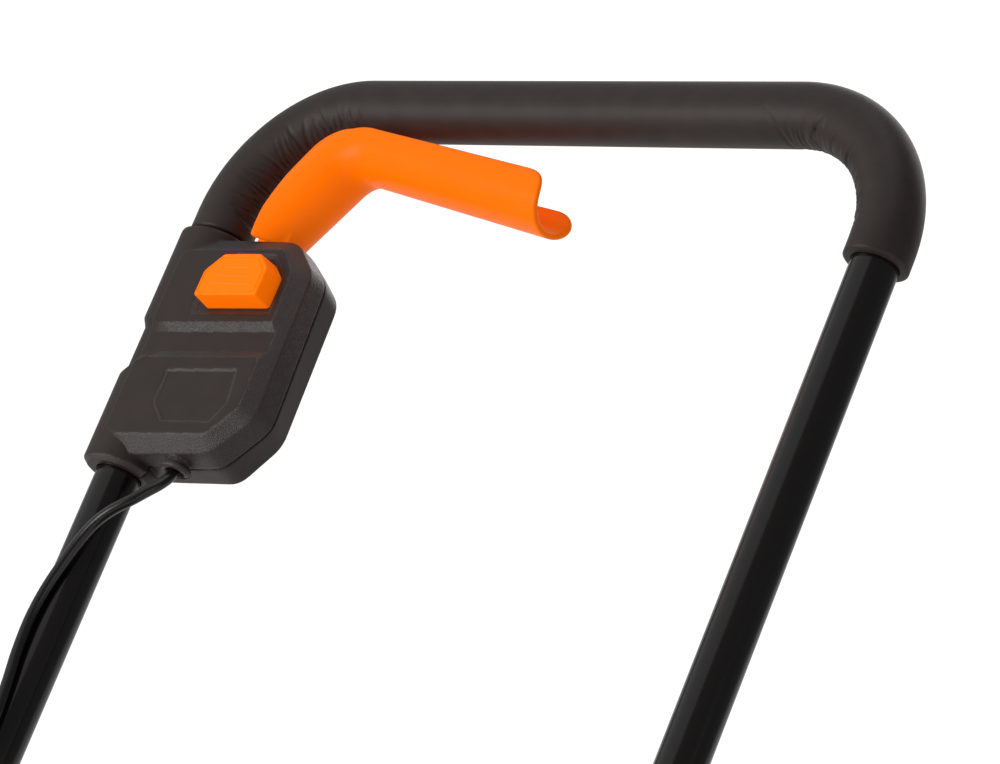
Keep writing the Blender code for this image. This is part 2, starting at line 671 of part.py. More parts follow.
def make_wheel(word, side, y, radius):
    """A moulded hub on the axle and a tyre on its rim; heights run outwards from the deck's side."""
    rim = radius - 0.016
    half = WHEEL_WIDTH / 2
    hub = [
        (AXLE_R + GAP, -half + 0.001), (0.014, -half + 0.001), (0.014, -0.004), (rim - 0.006, -0.004),
        (rim - 0.006, -half + 0.003), (rim, -half + 0.003), (rim, half - 0.003), (rim - 0.006, half - 0.003),
        (0.016, 0.007), (0.016, half - 0.001), (AXLE_R + GAP, half - 0.001),
    ]
    tyre = [
        (rim + GAP, -half + 0.003), (rim + 0.003, -half), (radius - 0.005, -half), (radius, -half + 0.006),
        (radius, half - 0.006), (radius - 0.005, half), (rim + 0.003, half), (rim + GAP, half - 0.003),
    ]
    centre = Vector((side * (WHEEL_IN + half), y + LENGTH_SHIFT, radius))
    for part, profile, look in (("hub", hub, "dark_plastic"), ("tyre", tyre, "black_rubber")):
        bm = turned(profile, centre, (side, 0, 0), WHEEL_SIDES)
        add(f"{part}_{word}", bm, look, origin=centre)


def hood_rings(inset, heights):
    rings = []
    for z, pull, lean in heights:
        outline = rounded(0.135 - inset - pull, -0.262 + inset + pull + lean, 0.112 - inset - pull,
                          0.060 - inset, 0.030 - inset, 4)
        rings.append([(x, y, z) for x, y in outline])
    return rings


BAY = ((-0.062, 0.020), (0.062, 0.100))          # the battery's opening in the hood's top, x and y
LID_HINGE = Vector((0, 0.0085, HOOD_TOP + 0.006))


def make_hood():
    outside = [(DECK_TOP + GAP, 0, 0), (0.235, 0.004, 0.010), (0.285, 0.012, 0.030), (HOOD_TOP, 0.024, 0.045)]
    inside = [(DECK_TOP - 0.01, 0, 0), (0.234, 0.004, 0.010), (0.284, 0.012, 0.030),
              (HOOD_TOP - SHEET, 0.024, 0.045)]
    hood = add("motor_hood", shifted(loft(hood_rings(0, outside))), "dark_plastic")
    cut(hood, helper(shifted(loft(hood_rings(SHEET, inside)))))
    (left, front), (right, rear) = BAY
    bay = prism(rounded(right, front, rear - 0.016, 0.004, 0.004, 2), HOOD_TOP - 0.02, HOOD_TOP + 0.02)
    cut(hood, helper(shifted(bay)))
    inlet = CABLE_INLET + Vector((0, LENGTH_SHIFT, 0))
    hole = rod(CABLE_R + GAP, inlet - Vector((0.006, 0, 0)), inlet + Vector((0.03, 0, 0)), 14)
    cut(hood, helper(hole))
    lid_outline = rounded(right + 0.006, 0.0140, rear - 0.008, 0.004, 0.010, 3)
    lid = prism(lid_outline, HOOD_TOP + GAP, HOOD_TOP + 0.0055)
    lid = add("battery_lid", shifted(lid), "orange_plastic", origin=LID_HINGE + Vector((0, LENGTH_SHIFT, 0)))
    ends = (-0.048, 0.048)
    hinge_at = LID_HINGE + Vector((0, LENGTH_SHIFT, 0))
    for x in (-0.030, 0.030):
        arm = rod(0.0042, hinge_at + Vector((x - 0.010, 0, 0)), hinge_at + Vector((x + 0.010, 0, 0)), 12)
        union(lid, helper(arm))
        web = block((x - 0.0098, hinge_at.y, HOOD_TOP + 0.0022),
                    (x + 0.0098, hinge_at.y + 0.009, HOOD_TOP + 0.0054))
        union(lid, helper(web))
    cut(lid, helper(rod(0.0018, hinge_at + Vector((-0.1, 0, 0)), hinge_at + Vector((0.1, 0, 0)), 10)))
    left_end, right_end = (hinge_at + Vector((x, 0, 0)) for x in ends)
    add("lid_pin", rod(0.0015, left_end, right_end, 10), "steel")
    for x in (-0.044, 0.044):
        knuckle = block((x - 0.0035, hinge_at.y - 0.004, HOOD_TOP - 0.001),
                        (x + 0.0035, hinge_at.y + 0.0034, HOOD_TOP + 0.0094))
        union(hood, helper(knuckle))
    cut(hood, helper(rod(0.0018, hinge_at + Vector((-0.1, 0, 0)), hinge_at + Vector((0.1, 0, 0)), 10)))


def make_power():
    """Battery, key and board, and the motor with its shaft, bearings and blade."""
    base = DECK_TOP + GAP
    centre = (0, MOTOR_Y + LENGTH_SHIFT, 0)
    add("battery_tray", shifted(block((-0.058, 0.004, base), (0.058, 0.096, 0.205))), "dark_plastic")
    pack = prism(rounded(0.056, 0.024, 0.080, 0.006, 0.006, 2), 0.2053, HOOD_TOP - 0.004)
    add("battery_pack", shifted(pack), "black_rubber")
    add("control_board", shifted(block((-0.060, -0.222, 0.200), (0.060, -0.140, 0.2016))), "green_board")
    for i, x in enumerate((-0.050, 0.050)):
        post = shifted(rod(0.005, (x, -0.180, base), (x, -0.180, 0.1997), 10))
        add(f"board_post_{'left' if i == 0 else 'right'}", post, "dark_plastic")
    motor = [(0.0095, base + 0.010), (0.0135, base + 0.010), (0.0135, base), (0.020, base), (0.050, base),
             (0.055, base + 0.004), (0.055, 0.242), (0.050, 0.248), (0.020, 0.250), (0.0135, 0.250),
             (0.0135, 0.240), (0.0095, 0.240)]
    add("motor", turned(motor, centre, sides=20), "steel")
    for word, z in (("lower", base + 0.0010), ("upper", 0.2405)):
        ring = [(0.0083, z), (0.0132, z), (0.0132, z + 0.0085), (0.0083, z + 0.0085)]
        add(f"{word}_bearing", turned(ring, centre, sides=18), "steel")
    hub_top = BLADE_Z + 0.004 + GAP
    shaft = [(0, hub_top + 0.005), (0.0080, hub_top + 0.005), (0.0080, 0.254), (0, 0.254)]
    add("motor_shaft", turned(shaft, centre, sides=18), "steel")
    hub = [(0, hub_top), (0.022, hub_top), (0.022, hub_top + 0.0035), (0.013, hub_top + 0.006),
           (0.013, hub_top + 0.030), (0.0083, hub_top + 0.030), (0.0083, hub_top + 0.0045),
           (0, hub_top + 0.0045)]
    add("blade_hub", turned(hub, centre, sides=18), "dark_plastic")
    half = BLADE_LENGTH / 2
    blade = [(-half, -0.016), (-half + 0.012, -0.025), (0.10, -0.025), (half - 0.070, -0.025),
             (half - 0.008, -0.020), (half, 0.016), (half - 0.012, 0.025), (-0.10, 0.025),
             (-half + 0.070, 0.025), (-half + 0.008, 0.020)]
    bar = prism([(x, y + centre[1]) for x, y in blade], BLADE_Z, BLADE_Z + 0.004)
    blade = add("blade", bar, "steel")
    for side in (-1, 1):
        wing = [(side * (half - 0.060), side * 0.012), (side * (half - 0.006), side * 0.012),
                (side * (half - 0.010), side * 0.0248), (side * (half - 0.060), side * 0.0248)]
        lift = [(x, y + centre[1]) for x, y in wing]
        low = [(x, y, BLADE_Z + 0.002) for x, y in lift]
        lifts = ((0, 0.0045), (0, 0.0045), (side * 0.002, 0.014), (side * 0.002, 0.014))
        high = [(x, y + back, BLADE_Z + rise) for (x, y), (back, rise) in zip(lift, lifts)]
        union(blade, helper(loft([low, high])))
    bolt = [(0, BLADE_Z - 0.0083), (0.009, BLADE_Z - 0.0083), (0.009, BLADE_Z - 0.0023),
            (0.014, BLADE_Z - 0.0023), (0.014, BLADE_Z - GAP), (0, BLADE_Z - GAP)]
    add("blade_bolt", turned(bolt, centre, sides=12), "steel")


# ---------------------------------------------------------------- rear flap and grass box

FLAP_HINGE = Vector((0, 0.197, TUNNEL_TOP + SHEET + 0.0060))


def make_rear_flap():
    """A sprung door over the discharge mouth, which lies on the grass box while that is fitted."""
    hinge = FLAP_HINGE + Vector((0, LENGTH_SHIFT, 0))
    slope = tan(radians(8))
    reach = 0.085
    side_view = [(0.009, 0.0005), (reach, 0.0025 + slope * reach), (reach, 0.0052 + slope * reach),
                 (0.009, 0.0033)]
    plate = prism([(hinge.y + a, hinge.z + b) for a, b in side_view], -0.128, 0.128, axis="x")
    flap = add("rear_flap", plate, "dark_plastic", origin=hinge)
    web = block((-0.1045, hinge.y, hinge.z + 0.0006), (0.1045, hinge.y + 0.011, hinge.z + 0.0034))
    union(flap, helper(web))
    union(flap, helper(rod(0.0048, hinge + Vector((-0.105, 0, 0)), hinge + Vector((0.105, 0, 0)), 12)))
    cut(flap, helper(rod(0.0024, hinge + Vector((-0.2, 0, 0)), hinge + Vector((0.2, 0, 0)), 10)))
    add("flap_pin", rod(0.0020, hinge + Vector((-0.122, 0, 0)), hinge + Vector((0.122, 0, 0)), 10), "steel")
    for side, word in ((-1, "left"), (1, "right")):
        ear = [(hinge.y - 0.007, TUNNEL_TOP - 0.017), (hinge.y + 0.007, TUNNEL_TOP - 0.017),
               (hinge.y + 0.005, hinge.z + 0.004), (hinge.y - 0.005, hinge.z + 0.004)]
        lug = prism(ear, *sorted((side * 0.1135, side * 0.1175)), axis="x")
        lug = add(f"flap_lug_{word}", lug, "dark_plastic")
        cut(lug, helper(rod(0.0024, hinge + Vector((-0.2, 0, 0)), hinge + Vector((0.2, 0, 0)), 10)))


def bag_rings(inset, heights):
    rings = []
    for z, pull in heights:
        reach = inset + pull
        rear = BAG_REAR - reach * 1.5
        outline = rounded(BAG_HALF - reach, BAG_FRONT + inset, rear, 0.012, 0.055 - inset, 4)
        rings.append([(x, y, z) for x, y in outline])
    return rings


def make_grass_box():
    """A tub with its mouth at the front, a domed lid with a carry handle, and a fill-level flap."""
    outside = [(BAG_FLOOR, 0.030), (BAG_FLOOR + 0.030, 0.008), (BAG_SPLIT, 0)]
    inside = [(BAG_FLOOR + SHEET, 0.030), (BAG_FLOOR + 0.031, 0.008), (BAG_SPLIT + 0.01, 0)]
    tub = add("grass_box_tub", shifted(loft(bag_rings(0, outside))), "dark_plastic")
    snout_half = TUNNEL_HALF + 0.006
    snout = block((-snout_half, SNOUT_FRONT, 0.1370), (snout_half, BAG_FRONT + 0.010, TUNNEL_TOP + 0.0035))
    union(tub, helper(shifted(snout)))
    cut(tub, helper(shifted(loft(bag_rings(SHEET, inside)))))
    mouth = block((-snout_half + SHEET, SNOUT_FRONT - 0.02, 0.1400),
                  (snout_half - SHEET, BAG_FRONT + 0.02, TUNNEL_TOP))
    cut(tub, helper(shifted(mouth)))
    base = BAG_SPLIT + GAP
    outside = [(base, 0), (base + 0.040, 0.008), (BAG_TOP - 0.012, 0.030), (BAG_TOP, 0.060)]
    inside = [(base - 0.01, 0), (base + 0.039, 0.008), (BAG_TOP - 0.014, 0.030), (BAG_TOP - SHEET, 0.060)]
    lid = add("grass_box_lid", shifted(loft(bag_rings(0, outside))), "dark_plastic")
    cut(lid, helper(shifted(loft(bag_rings(SHEET, inside)))))
    window = block((-0.030, 0.480, BAG_TOP - 0.02), (0.030, 0.512, BAG_TOP + 0.02))
    cut(lid, helper(shifted(window)))
    grip_y = 0.400 + LENGTH_SHIFT
    outer = [(-0.070, BAG_TOP - 0.001), (-0.064, BAG_TOP + 0.030), (-0.050, BAG_TOP + 0.040),
             (0.050, BAG_TOP + 0.040), (0.064, BAG_TOP + 0.030), (0.070, BAG_TOP - 0.001)]
    inner = [(-0.058, BAG_TOP), (-0.052, BAG_TOP + 0.024), (-0.046, BAG_TOP + 0.029),
             (0.046, BAG_TOP + 0.029), (0.052, BAG_TOP + 0.024), (0.058, BAG_TOP)]
    grip = helper(prism(outer, grip_y - 0.012, grip_y + 0.012, axis="y"))
    hollow = helper(prism(inner, grip_y - 0.03, grip_y + 0.03, axis="y"))
    cut(grip, hollow)
    union(lid, grip)
    flap = block((-0.0285, 0.4815, BAG_TOP - 0.0020), (0.0285, 0.5105, BAG_TOP + 0.0010))
    flap_hinge = Vector((0, 0.4825 + LENGTH_SHIFT, BAG_TOP - 0.0005))
    add("level_flap", shifted(flap), "orange_plastic", origin=flap_hinge)


# ---------------------------------------------------------------- all of it

clear_scene()
MATERIALS = make_materials()
LEAN_X = Vector((1, 0, 0))
LEAN_UP = Vector((0, sin(HANDLE_LEAN), cos(HANDLE_LEAN)))
LEAN_OUT = LEAN_X.cross(LEAN_UP)
BRACKET_Y = BRACKET_SPOT + LENGTH_SHIFT
CROSSBAR = Vector((0, BRACKET_Y, CROSSBAR_HEIGHT - BRACKET_DROP * LEAN_UP.z)) + BRACKET_DROP * LEAN_UP
HANDLE = Matrix.Translation(CROSSBAR) @ Matrix((LEAN_X, LEAN_UP, LEAN_OUT)).transposed().to_4x4()

handle_frame = empty("handle_frame", HANDLE)
make_upper_handle(handle_frame)
make_switch_box(handle_frame)
make_bail_lever(handle_frame)
make_lower_handle(handle_frame)
make_cable(handle_frame)
make_deck()
make_running_gear()
make_hood()
make_power()
make_rear_flap()
make_grass_box()
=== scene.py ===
"""Looks of the walk-behind mower: shells, foam, tubes, cable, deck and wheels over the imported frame.

Metres. Pieces of the upper and lower handle are drawn in the handle's own frame: x across, y up along the
tubes from the crossbar's axis, z out of the handle's front. Everything else is drawn in world axes.
"""

import json
from itertools import product
from math import atan2, cos, exp, pi, radians, sin, sqrt, tan

import bmesh
import bpy
import numpy as np
from mathutils import Matrix, Vector


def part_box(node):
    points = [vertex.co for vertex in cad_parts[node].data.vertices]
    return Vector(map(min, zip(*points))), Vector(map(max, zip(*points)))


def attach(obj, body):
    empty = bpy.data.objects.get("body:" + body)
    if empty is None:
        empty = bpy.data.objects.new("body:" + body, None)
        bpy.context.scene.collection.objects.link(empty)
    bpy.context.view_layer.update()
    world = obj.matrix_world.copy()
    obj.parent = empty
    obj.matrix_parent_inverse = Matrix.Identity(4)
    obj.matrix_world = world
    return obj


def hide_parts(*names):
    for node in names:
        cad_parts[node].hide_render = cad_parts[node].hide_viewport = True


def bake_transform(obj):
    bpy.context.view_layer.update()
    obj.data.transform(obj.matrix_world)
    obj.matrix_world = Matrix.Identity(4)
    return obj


# The handle, as in the CAD
CROSSBAR_HEIGHT = 0.985
HANDLE_LEAN = radians(33.9)
TUBE_R = 0.0125
TUBE_WALL = 0.0015
HANDLE_WIDTH = 0.4337
LEG_SPLAY = radians(0.61)
BEND_LEFT = 0.071
BEND_RIGHT = 0.077
FOLD_DROP = 0.525
LEG_TAIL = 0.024
FOAM_R = 0.0172
FOAM_ENDS = (-0.0852, -0.087)
FOAM_EDGE_R = 0.0014
PLUMP_REACH = 0.055
FOAM_PLUMP = 0.0014                               # how much the foam bulges outwards by the switch box
GAP = 0.0003

# Switch box
SLEEVE_R = 0.0194
SLEEVE_SQUARENESS = 2.8
SLEEVE_TOP = -0.0860
SLEEVE_BOTTOM = -0.2335
BOX_FRONT = 0.0198
BOX_WALL = 0.0026
PIVOT = Vector((-0.188, -0.106, 0.0))
CABLE_R = 0.0031
CABLE_EXIT = Vector((-0.171, -0.2265, 0.007))
EXIT_DROP = 0.0014                                # the hole is this far behind the cable's middle
BOSS_TOP = -0.2245
BOSS_RING = (0.0069, -0.2302, 0.0020)             # radius, height and thickness of the ring round the cable

# Bail lever
GUTTER_R = 0.0195
GUTTER_WALL = 0.0034
LEVER_ARM_FOOT = Vector((-0.186, -0.088))
LEVER_CORNER = Vector((-0.1418, -0.0223))
LEVER_END = Vector((0.0070, -0.0556))
LEVER_KNEE_R = 0.030

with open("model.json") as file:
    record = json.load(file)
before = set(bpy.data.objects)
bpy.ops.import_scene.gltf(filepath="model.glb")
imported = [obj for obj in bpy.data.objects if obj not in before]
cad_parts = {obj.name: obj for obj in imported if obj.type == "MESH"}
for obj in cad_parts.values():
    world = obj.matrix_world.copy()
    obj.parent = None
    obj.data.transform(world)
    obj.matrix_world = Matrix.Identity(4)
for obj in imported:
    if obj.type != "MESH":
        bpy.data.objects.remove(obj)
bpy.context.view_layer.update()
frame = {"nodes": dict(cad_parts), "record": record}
CROSSBAR = Vector((0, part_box("foam_grip")[1][1] - FOAM_R, CROSSBAR_HEIGHT))
HANDLE = Matrix.Translation(CROSSBAR) @ Matrix.Rotation(pi / 2 - HANDLE_LEAN, 4, "X")


# ---------------------------------------------------------------- camera, light and floor

CAMERA_PLACE = CROSSBAR + Vector((1.4548, -1.8641, 0.0230))
CAMERA_YAW = radians(39.06)
CAMERA_PITCH = radians(3.97)
LENS = 161.9

# Softboxes: name, place from the crossbar, size, power, warmth
LIGHTS = (
    ("key", (-1.25, -2.5, 0.22), (1.7, 1.3), 46.0, (1.0, 0.99, 0.97)),
    ("overhead", (-1.1, -0.92, 1.67), (3.4, 3.4), 18.0, (1.0, 1.0, 1.0)),
    ("right", (2.4, -1.1, -0.3), (2.0, 2.0), 8.0, (1.0, 1.0, 1.0)),
    ("top", (0.3, 0.2, 2.2), (2.4, 1.0), 8.0, (1.0, 1.0, 1.0)),
    ("back", (-0.5, 2.6, 0.8), (2.4, 1.8), 20.0, (1.0, 1.0, 1.0)),
)
BEHIND = Vector((-0.62, 0.78, 0.0))      # the lit background, as the handle's rims reflect it


def make_camera():
    data = bpy.data.cameras.new("camera")
    data.lens = LENS
    data.sensor_width = 36
    data.clip_start = 0.05
    data.clip_end = 60
    camera = bpy.data.objects.new("camera", data)
    bpy.context.collection.objects.link(camera)
    camera.location = CAMERA_PLACE
    camera.rotation_euler = (pi / 2 - CAMERA_PITCH, 0, CAMERA_YAW)
    bpy.context.scene.camera = camera


def make_lights():
    for name, place, size, power, colour in LIGHTS:
        data = bpy.data.lights.new(name, "AREA")
        data.shape = "RECTANGLE"
        data.size, data.size_y = size
        data.energy = power
        data.color = colour
        light = bpy.data.objects.new(name, data)
        bpy.context.collection.objects.link(light)
        light.location = CROSSBAR + Vector(place)
        light.rotation_euler = (-Vector(place)).to_track_quat("-Z", "Y").to_euler()
        light.visible_camera = False


def make_world():
    """White where it is seen directly. It lights the mower with a dim room and a bright wall behind."""
    world = bpy.data.worlds.new("studio")
    world.use_nodes = True
    bpy.context.scene.world = world
    nodes, links = world.node_tree.nodes, world.node_tree.links
    nodes.clear()
    seen, room = nodes.new("ShaderNodeBackground"), nodes.new("ShaderNodeBackground")
    seen.inputs["Strength"].default_value = 1.1
    seen.inputs["Color"].default_value = (1, 1, 1, 1)
    room.inputs["Color"].default_value = (1, 1, 1, 1)
    way = nodes.new("ShaderNodeTexCoord").outputs["Generated"]
    facing = nodes.new("ShaderNodeVectorMath")
    facing.operation = "DOT_PRODUCT"
    facing.inputs[1].default_value = BEHIND
    wall = nodes.new("ShaderNodeMapRange")
    wall.inputs["From Min"].default_value = 0.45
    wall.inputs["From Max"].default_value = 0.95
    wall.inputs["To Min"].default_value = 0.18
    wall.inputs["To Max"].default_value = 0.66
    links.new(way, facing.inputs[0])
    links.new(facing.outputs["Value"], wall.inputs["Value"])
    links.new(wall.outputs[0], room.inputs["Strength"])
    path = nodes.new("ShaderNodeLightPath")
    mix = nodes.new("ShaderNodeMixShader")
    out = nodes.new("ShaderNodeOutputWorld")
    links.new(path.outputs["Is Camera Ray"], mix.inputs[0])
    links.new(room.outputs[0], mix.inputs[1])
    links.new(seen.outputs[0], mix.inputs[2])
    links.new(mix.outputs[0], out.inputs[0])


# ---------------------------------------------------------------- materials

MOTTLE_SIZE = 0.012
STREAK_SIZE = 0.006


def material(name, colour, roughness, metallic=0.0, grains=(), mottle=0.0, streaks=0.0, **sockets):
    """A Principled finish. grains are (size in metres, bump depth) of layered noise, mottle varies the
    colour and streaks the roughness."""
    made = bpy.data.materials.new(name)
    made.use_nodes = True
    nodes, links = made.node_tree.nodes, made.node_tree.links
    shader = nodes["Principled BSDF"]
    shader.inputs["Base Color"].default_value = (*colour, 1)
    shader.inputs["Roughness"].default_value = roughness
    shader.inputs["Metallic"].default_value = metallic
    for socket, value in sockets.items():
        shader.inputs[socket.replace("_", " ")].default_value = value
    place = nodes.new("ShaderNodeTexCoord").outputs["Object"]

    def noise(size, detail=3.0):
        texture = nodes.new("ShaderNodeTexNoise")
        texture.inputs["Scale"].default_value = 1 / size
        texture.inputs["Detail"].default_value = detail
        links.new(place, texture.inputs["Vector"])
        return texture.outputs["Fac"]

    normal = None
    for size, depth in grains:
        bump = nodes.new("ShaderNodeBump")
        bump.inputs["Distance"].default_value = depth
        bump.inputs["Strength"].default_value = 1.0
        links.new(noise(size), bump.inputs["Height"])
        if normal:
            links.new(normal, bump.inputs["Normal"])
        normal = bump.outputs["Normal"]
    if normal:
        links.new(normal, shader.inputs["Normal"])
    if mottle:
        ramp = nodes.new("ShaderNodeValToRGB")
        ramp.color_ramp.elements[0].position = 0.3
        ramp.color_ramp.elements[1].position = 0.7
        ramp.color_ramp.elements[0].color = (*(c * (1 - mottle) for c in colour), 1)
        ramp.color_ramp.elements[1].color = (*(min(1, c * (1 + mottle)) for c in colour), 1)
        links.new(noise(MOTTLE_SIZE, 6.0), ramp.inputs[0])
        links.new(ramp.outputs[0], shader.inputs["Base Color"])
    if streaks:
        spread = nodes.new("ShaderNodeMapRange")
        spread.inputs["To Min"].default_value = max(0.03, roughness - streaks)
        spread.inputs["To Max"].default_value = min(1.0, roughness + streaks)
        links.new(noise(STREAK_SIZE, 5.0), spread.inputs["Value"])
        links.new(spread.outputs[0], shader.inputs["Roughness"])
    return made


def orange_plastic(name, painted_glow):
    """Orange moulded plastic. Its glow is painted light: an emission that brightens the orange beyond what
    the lamps give.
    """
    return material(name, (1.0, 0.163, 0.0003), 0.32, grains=((0.0011, 0.00002),), mottle=0.02,
                    streaks=0.04, Specular_IOR_Level=0.08, Emission_Color=(1.0, 0.175, 0.0, 1.0),
                    Emission_Strength=painted_glow)


LOOKS = {
    "foam": material("foam", (0.0310, 0.0228, 0.0202), 0.50, grains=((0.0007, 0.00005), (0.004, 0.0001)),
                     mottle=0.12, Specular_IOR_Level=0.24, Sheen_Weight=0.03, Sheen_Roughness=0.4),
    "tube": material("tube", (0.0060, 0.0048, 0.0045), 0.16, grains=((0.0035, 0.000008),), streaks=0.04,
                     Specular_IOR_Level=0.42),
    "plastic": material("plastic", (0.0330, 0.0235, 0.0210), 0.44, grains=((0.0007, 0.00005),), mottle=0.08,
                        streaks=0.05, Specular_IOR_Level=0.20),
    "grain": material("grain", (0.0330, 0.0245, 0.0225), 0.42, grains=((0.00065, 0.00042),), mottle=0.10,
                      Specular_IOR_Level=0.52),
    # Painted glow: both orange finishes emit light to brighten the orange, the button's the stronger.
    "orange": orange_plastic("orange", 0.24),
    "button_orange": orange_plastic("button_orange", 0.40),
    # The deck's orange also carries a weak painted glow, an emission that brightens it.
    "deck_orange": material("deck_orange", (1.0, 0.165, 0.0008), 0.26, grains=((0.004, 0.00003),),
                            mottle=0.03, streaks=0.05, Specular_IOR_Level=0.35,
                            Emission_Color=(1.0, 0.20, 0.0, 1.0), Emission_Strength=0.12),
    "cable": material("cable", (0.0050, 0.0050, 0.0056), 0.24, grains=((0.0012, 0.000003),),
                      Specular_IOR_Level=0.50),
    "steel": material("steel", (0.52, 0.52, 0.53), 0.30, 1.0, grains=((0.002, 0.00002),), streaks=0.10),
    "blade_steel": material("blade_steel", (0.10, 0.10, 0.105), 0.42, 0.8, grains=((0.003, 0.00005),),
                            streaks=0.12),
    "rubber": material("rubber", (0.0150, 0.0135, 0.0128), 0.70, grains=((0.0015, 0.00008),), mottle=0.15,
                       Specular_IOR_Level=0.30),
    "battery": material("battery", (0.012, 0.012, 0.013), 0.5, grains=((0.0008, 0.00006),), mottle=0.1),
    "board": material("board", (0.015, 0.12, 0.05), 0.42, grains=((0.002, 0.00003),), mottle=0.2),
    "clear": material("clear", (0.75, 0.10, 0.004), 0.12, mottle=0.02, Transmission_Weight=0.35),
}
LOOK_OF_SLOT = {
    "black_tube": "tube", "foam": "foam", "dark_plastic": "plastic", "orange_plastic": "orange",
    "steel": "steel", "black_rubber": "rubber", "cable_black": "cable", "orange_deck": "deck_orange",
    "green_board": "board",
}


def finish_cad_nodes():
    """Every CAD node gets the procedural finish of its material slot."""
    for part in frame["record"]["subparts"]:
        mesh = frame["nodes"][part["node"]].data
        mesh.materials.clear()
        mesh.materials.append(LOOKS[LOOK_OF_SLOT[part["material_slot"]]])


# ---------------------------------------------------------------- pieces

def piece(name, mesh, look, body, replaces=(), place=HANDLE, crease=30):
    """A visual piece: its mesh is drawn in the frame of place, and rides on a CAD body."""
    mesh.transform(place)
    mesh.materials.append(LOOKS[look])
    if crease:
        mesh.shade_smooth()
        mesh.set_sharp_from_angle(angle=radians(crease))
    obj = bpy.data.objects.new(name, mesh)
    bpy.context.collection.objects.link(obj)
    if body:
        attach(obj, body)
    if replaces:
        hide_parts(*replaces)
    return obj


def applied(obj, *modifiers):
    """Applies modifiers, given as (kind, settings), to the object's mesh."""
    for kind, settings in modifiers:
        modifier = obj.modifiers.new(kind.lower(), kind)
        for key, value in settings.items():
            setattr(modifier, key, value)
    graph = bpy.context.evaluated_depsgraph_get()
    mesh = bpy.data.meshes.new_from_object(obj.evaluated_get(graph))
    obj.modifiers.clear()
    old = obj.data
    obj.data = mesh
    bpy.data.meshes.remove(old)
    return obj


def mesh_of(points, faces, name="mesh"):
    mesh = bpy.data.meshes.new(name)
    mesh.from_pydata([tuple(p) for p in points], [], [tuple(f) for f in faces])
    mesh.update()
    return mesh


def strip(rings, closed_rings=True, closed_ends=True, joined_ends=False):
    """A mesh through rings of equally many points, with its two ends filled, open or joined together."""
    count = len(rings[0])
    points = [p for ring in rings for p in ring]
    faces = []
    pairs = list(zip(range(len(rings)), range(1, len(rings))))
    if joined_ends:
        pairs.append((len(rings) - 1, 0))
    for low, high in pairs:
        for i in range(count if closed_rings else count - 1):
            j = (i + 1) % count
            faces.append((low * count + i, low * count + j, high * count + j, high * count + i))
    if closed_ends and not joined_ends:
        faces.append(tuple(reversed(range(count))))
        faces.append(tuple(range(len(points) - count, len(points))))
    mesh = mesh_of(points, faces)
    bm = bmesh.new()
    bm.from_mesh(mesh)
    bmesh.ops.recalc_face_normals(bm, faces=bm.faces)
    bm.to_mesh(mesh)
    bm.free()
    return mesh


def circle(radius, sides):
    """Points round a circle."""
    return [(radius * cos(2 * pi * i / sides), radius * sin(2 * pi * i / sides)) for i in range(sides)]


def sweep(path, section):
    """Rings along a path of points: section gives (across, out) offsets at each share of the length."""
    rings = []
    steps = [(q - p).normalized() for p, q in zip(path, path[1:])]
    side = Vector((0, 0, 1))
    for k, (point, before, after) in enumerate(zip(path, [steps[0], *steps], [*steps, steps[-1]])):
        along = (before + after).normalized()
        side = (side - along * side.dot(along)).normalized()
        across = side.cross(along)
        rings.append([point + across * a + side * b for a, b in section(k)])
    return rings


def oval(wide, high, sides):
    """The section of a bar, for sweep."""
    return lambda k: [(a * wide, b * high) for a, b in circle(1, sides)]


def bar(low, high, section):
    """A straight bar between two points."""
    return strip(sweep([low, (low + high) / 2, high], section))


def hollow_tube(path, sides=48):
    """The handle's tube along a path, open at both ends."""
    rings = []
    for radius, order in ((TUBE_R, 1), (TUBE_R - TUBE_WALL, -1)):
        rings += sweep(path, lambda k: circle(radius, sides))[::order]
    return strip(rings, joined_ends=True)


def axes_of(direction):
    """Two axes across a direction, and the direction itself."""
    along = Vector(direction).normalized()
    helper = Vector((1, 0, 0)) if abs(along.x) < 0.9 else Vector((0, 1, 0))
    across = (helper - along * helper.dot(along)).normalized()
    return across, along.cross(across), along


def lathe(profile, centre=(0, 0, 0), direction=(0, 0, 1), sides=48):
    """Turns a profile of (radius, height) points round an axis. Points on the axis close it."""
    across, over, along = axes_of(direction)
    centre = Vector(centre)
    rings = []
    for i in range(sides):
        turn = 2 * pi * i / sides
        out = across * cos(turn) + over * sin(turn)
        rings.append([centre + out * max(r, 1e-6) + along * h for r, h in profile])
    mesh = strip(rings, joined_ends=True)
    bm = bmesh.new()
    bm.from_mesh(mesh)
    bmesh.ops.remove_doubles(bm, verts=bm.verts, dist=3e-6)
    bmesh.ops.recalc_face_normals(bm, faces=bm.faces)
    bm.to_mesh(mesh)
    bm.free()
    return mesh


def merged(meshes):
    """One mesh of several, which stay separate shells in it."""
    bm = bmesh.new()
    for mesh in meshes:
        bm.from_mesh(mesh)
        bpy.data.meshes.remove(mesh)
    out = bpy.data.meshes.new("merged")
    bm.to_mesh(out)
    bm.free()
    return out


# ---------------------------------------------------------------- moulded shapes from distance fields

def smooth_max(a, b, radius):
    """The larger of two distances, with the edge between them rounded off."""
    near = np.maximum(radius - np.abs(a - b), 0)
    return np.maximum(a, b) + near * near / (4 * radius)


def smooth_min(a, b, radius):
    """The smaller of two distances, with the corner between them filled."""
    return -smooth_max(-a, -b, radius)


def polygon_distance(x, y, corners):
    """Signed distance to a polygon, negative inside."""
    nearest = None
    inside = np.zeros(np.broadcast(x, y).shape, bool)
    for (ax, ay), (bx, by) in zip(corners, [*corners[1:], corners[0]]):
        ex, ey = bx - ax, by - ay
        share = np.clip(((x - ax) * ex + (y - ay) * ey) / (ex * ex + ey * ey), 0, 1)
        gap = np.hypot(x - ax - share * ex, y - ay - share * ey)
        nearest = gap if nearest is None else np.minimum(nearest, gap)
        if ay != by:
            crosses = (ay > y) != (by > y)
            inside ^= crosses & (x < ex * (y - ay) / ey + ax)
    return np.where(inside, -nearest, nearest)


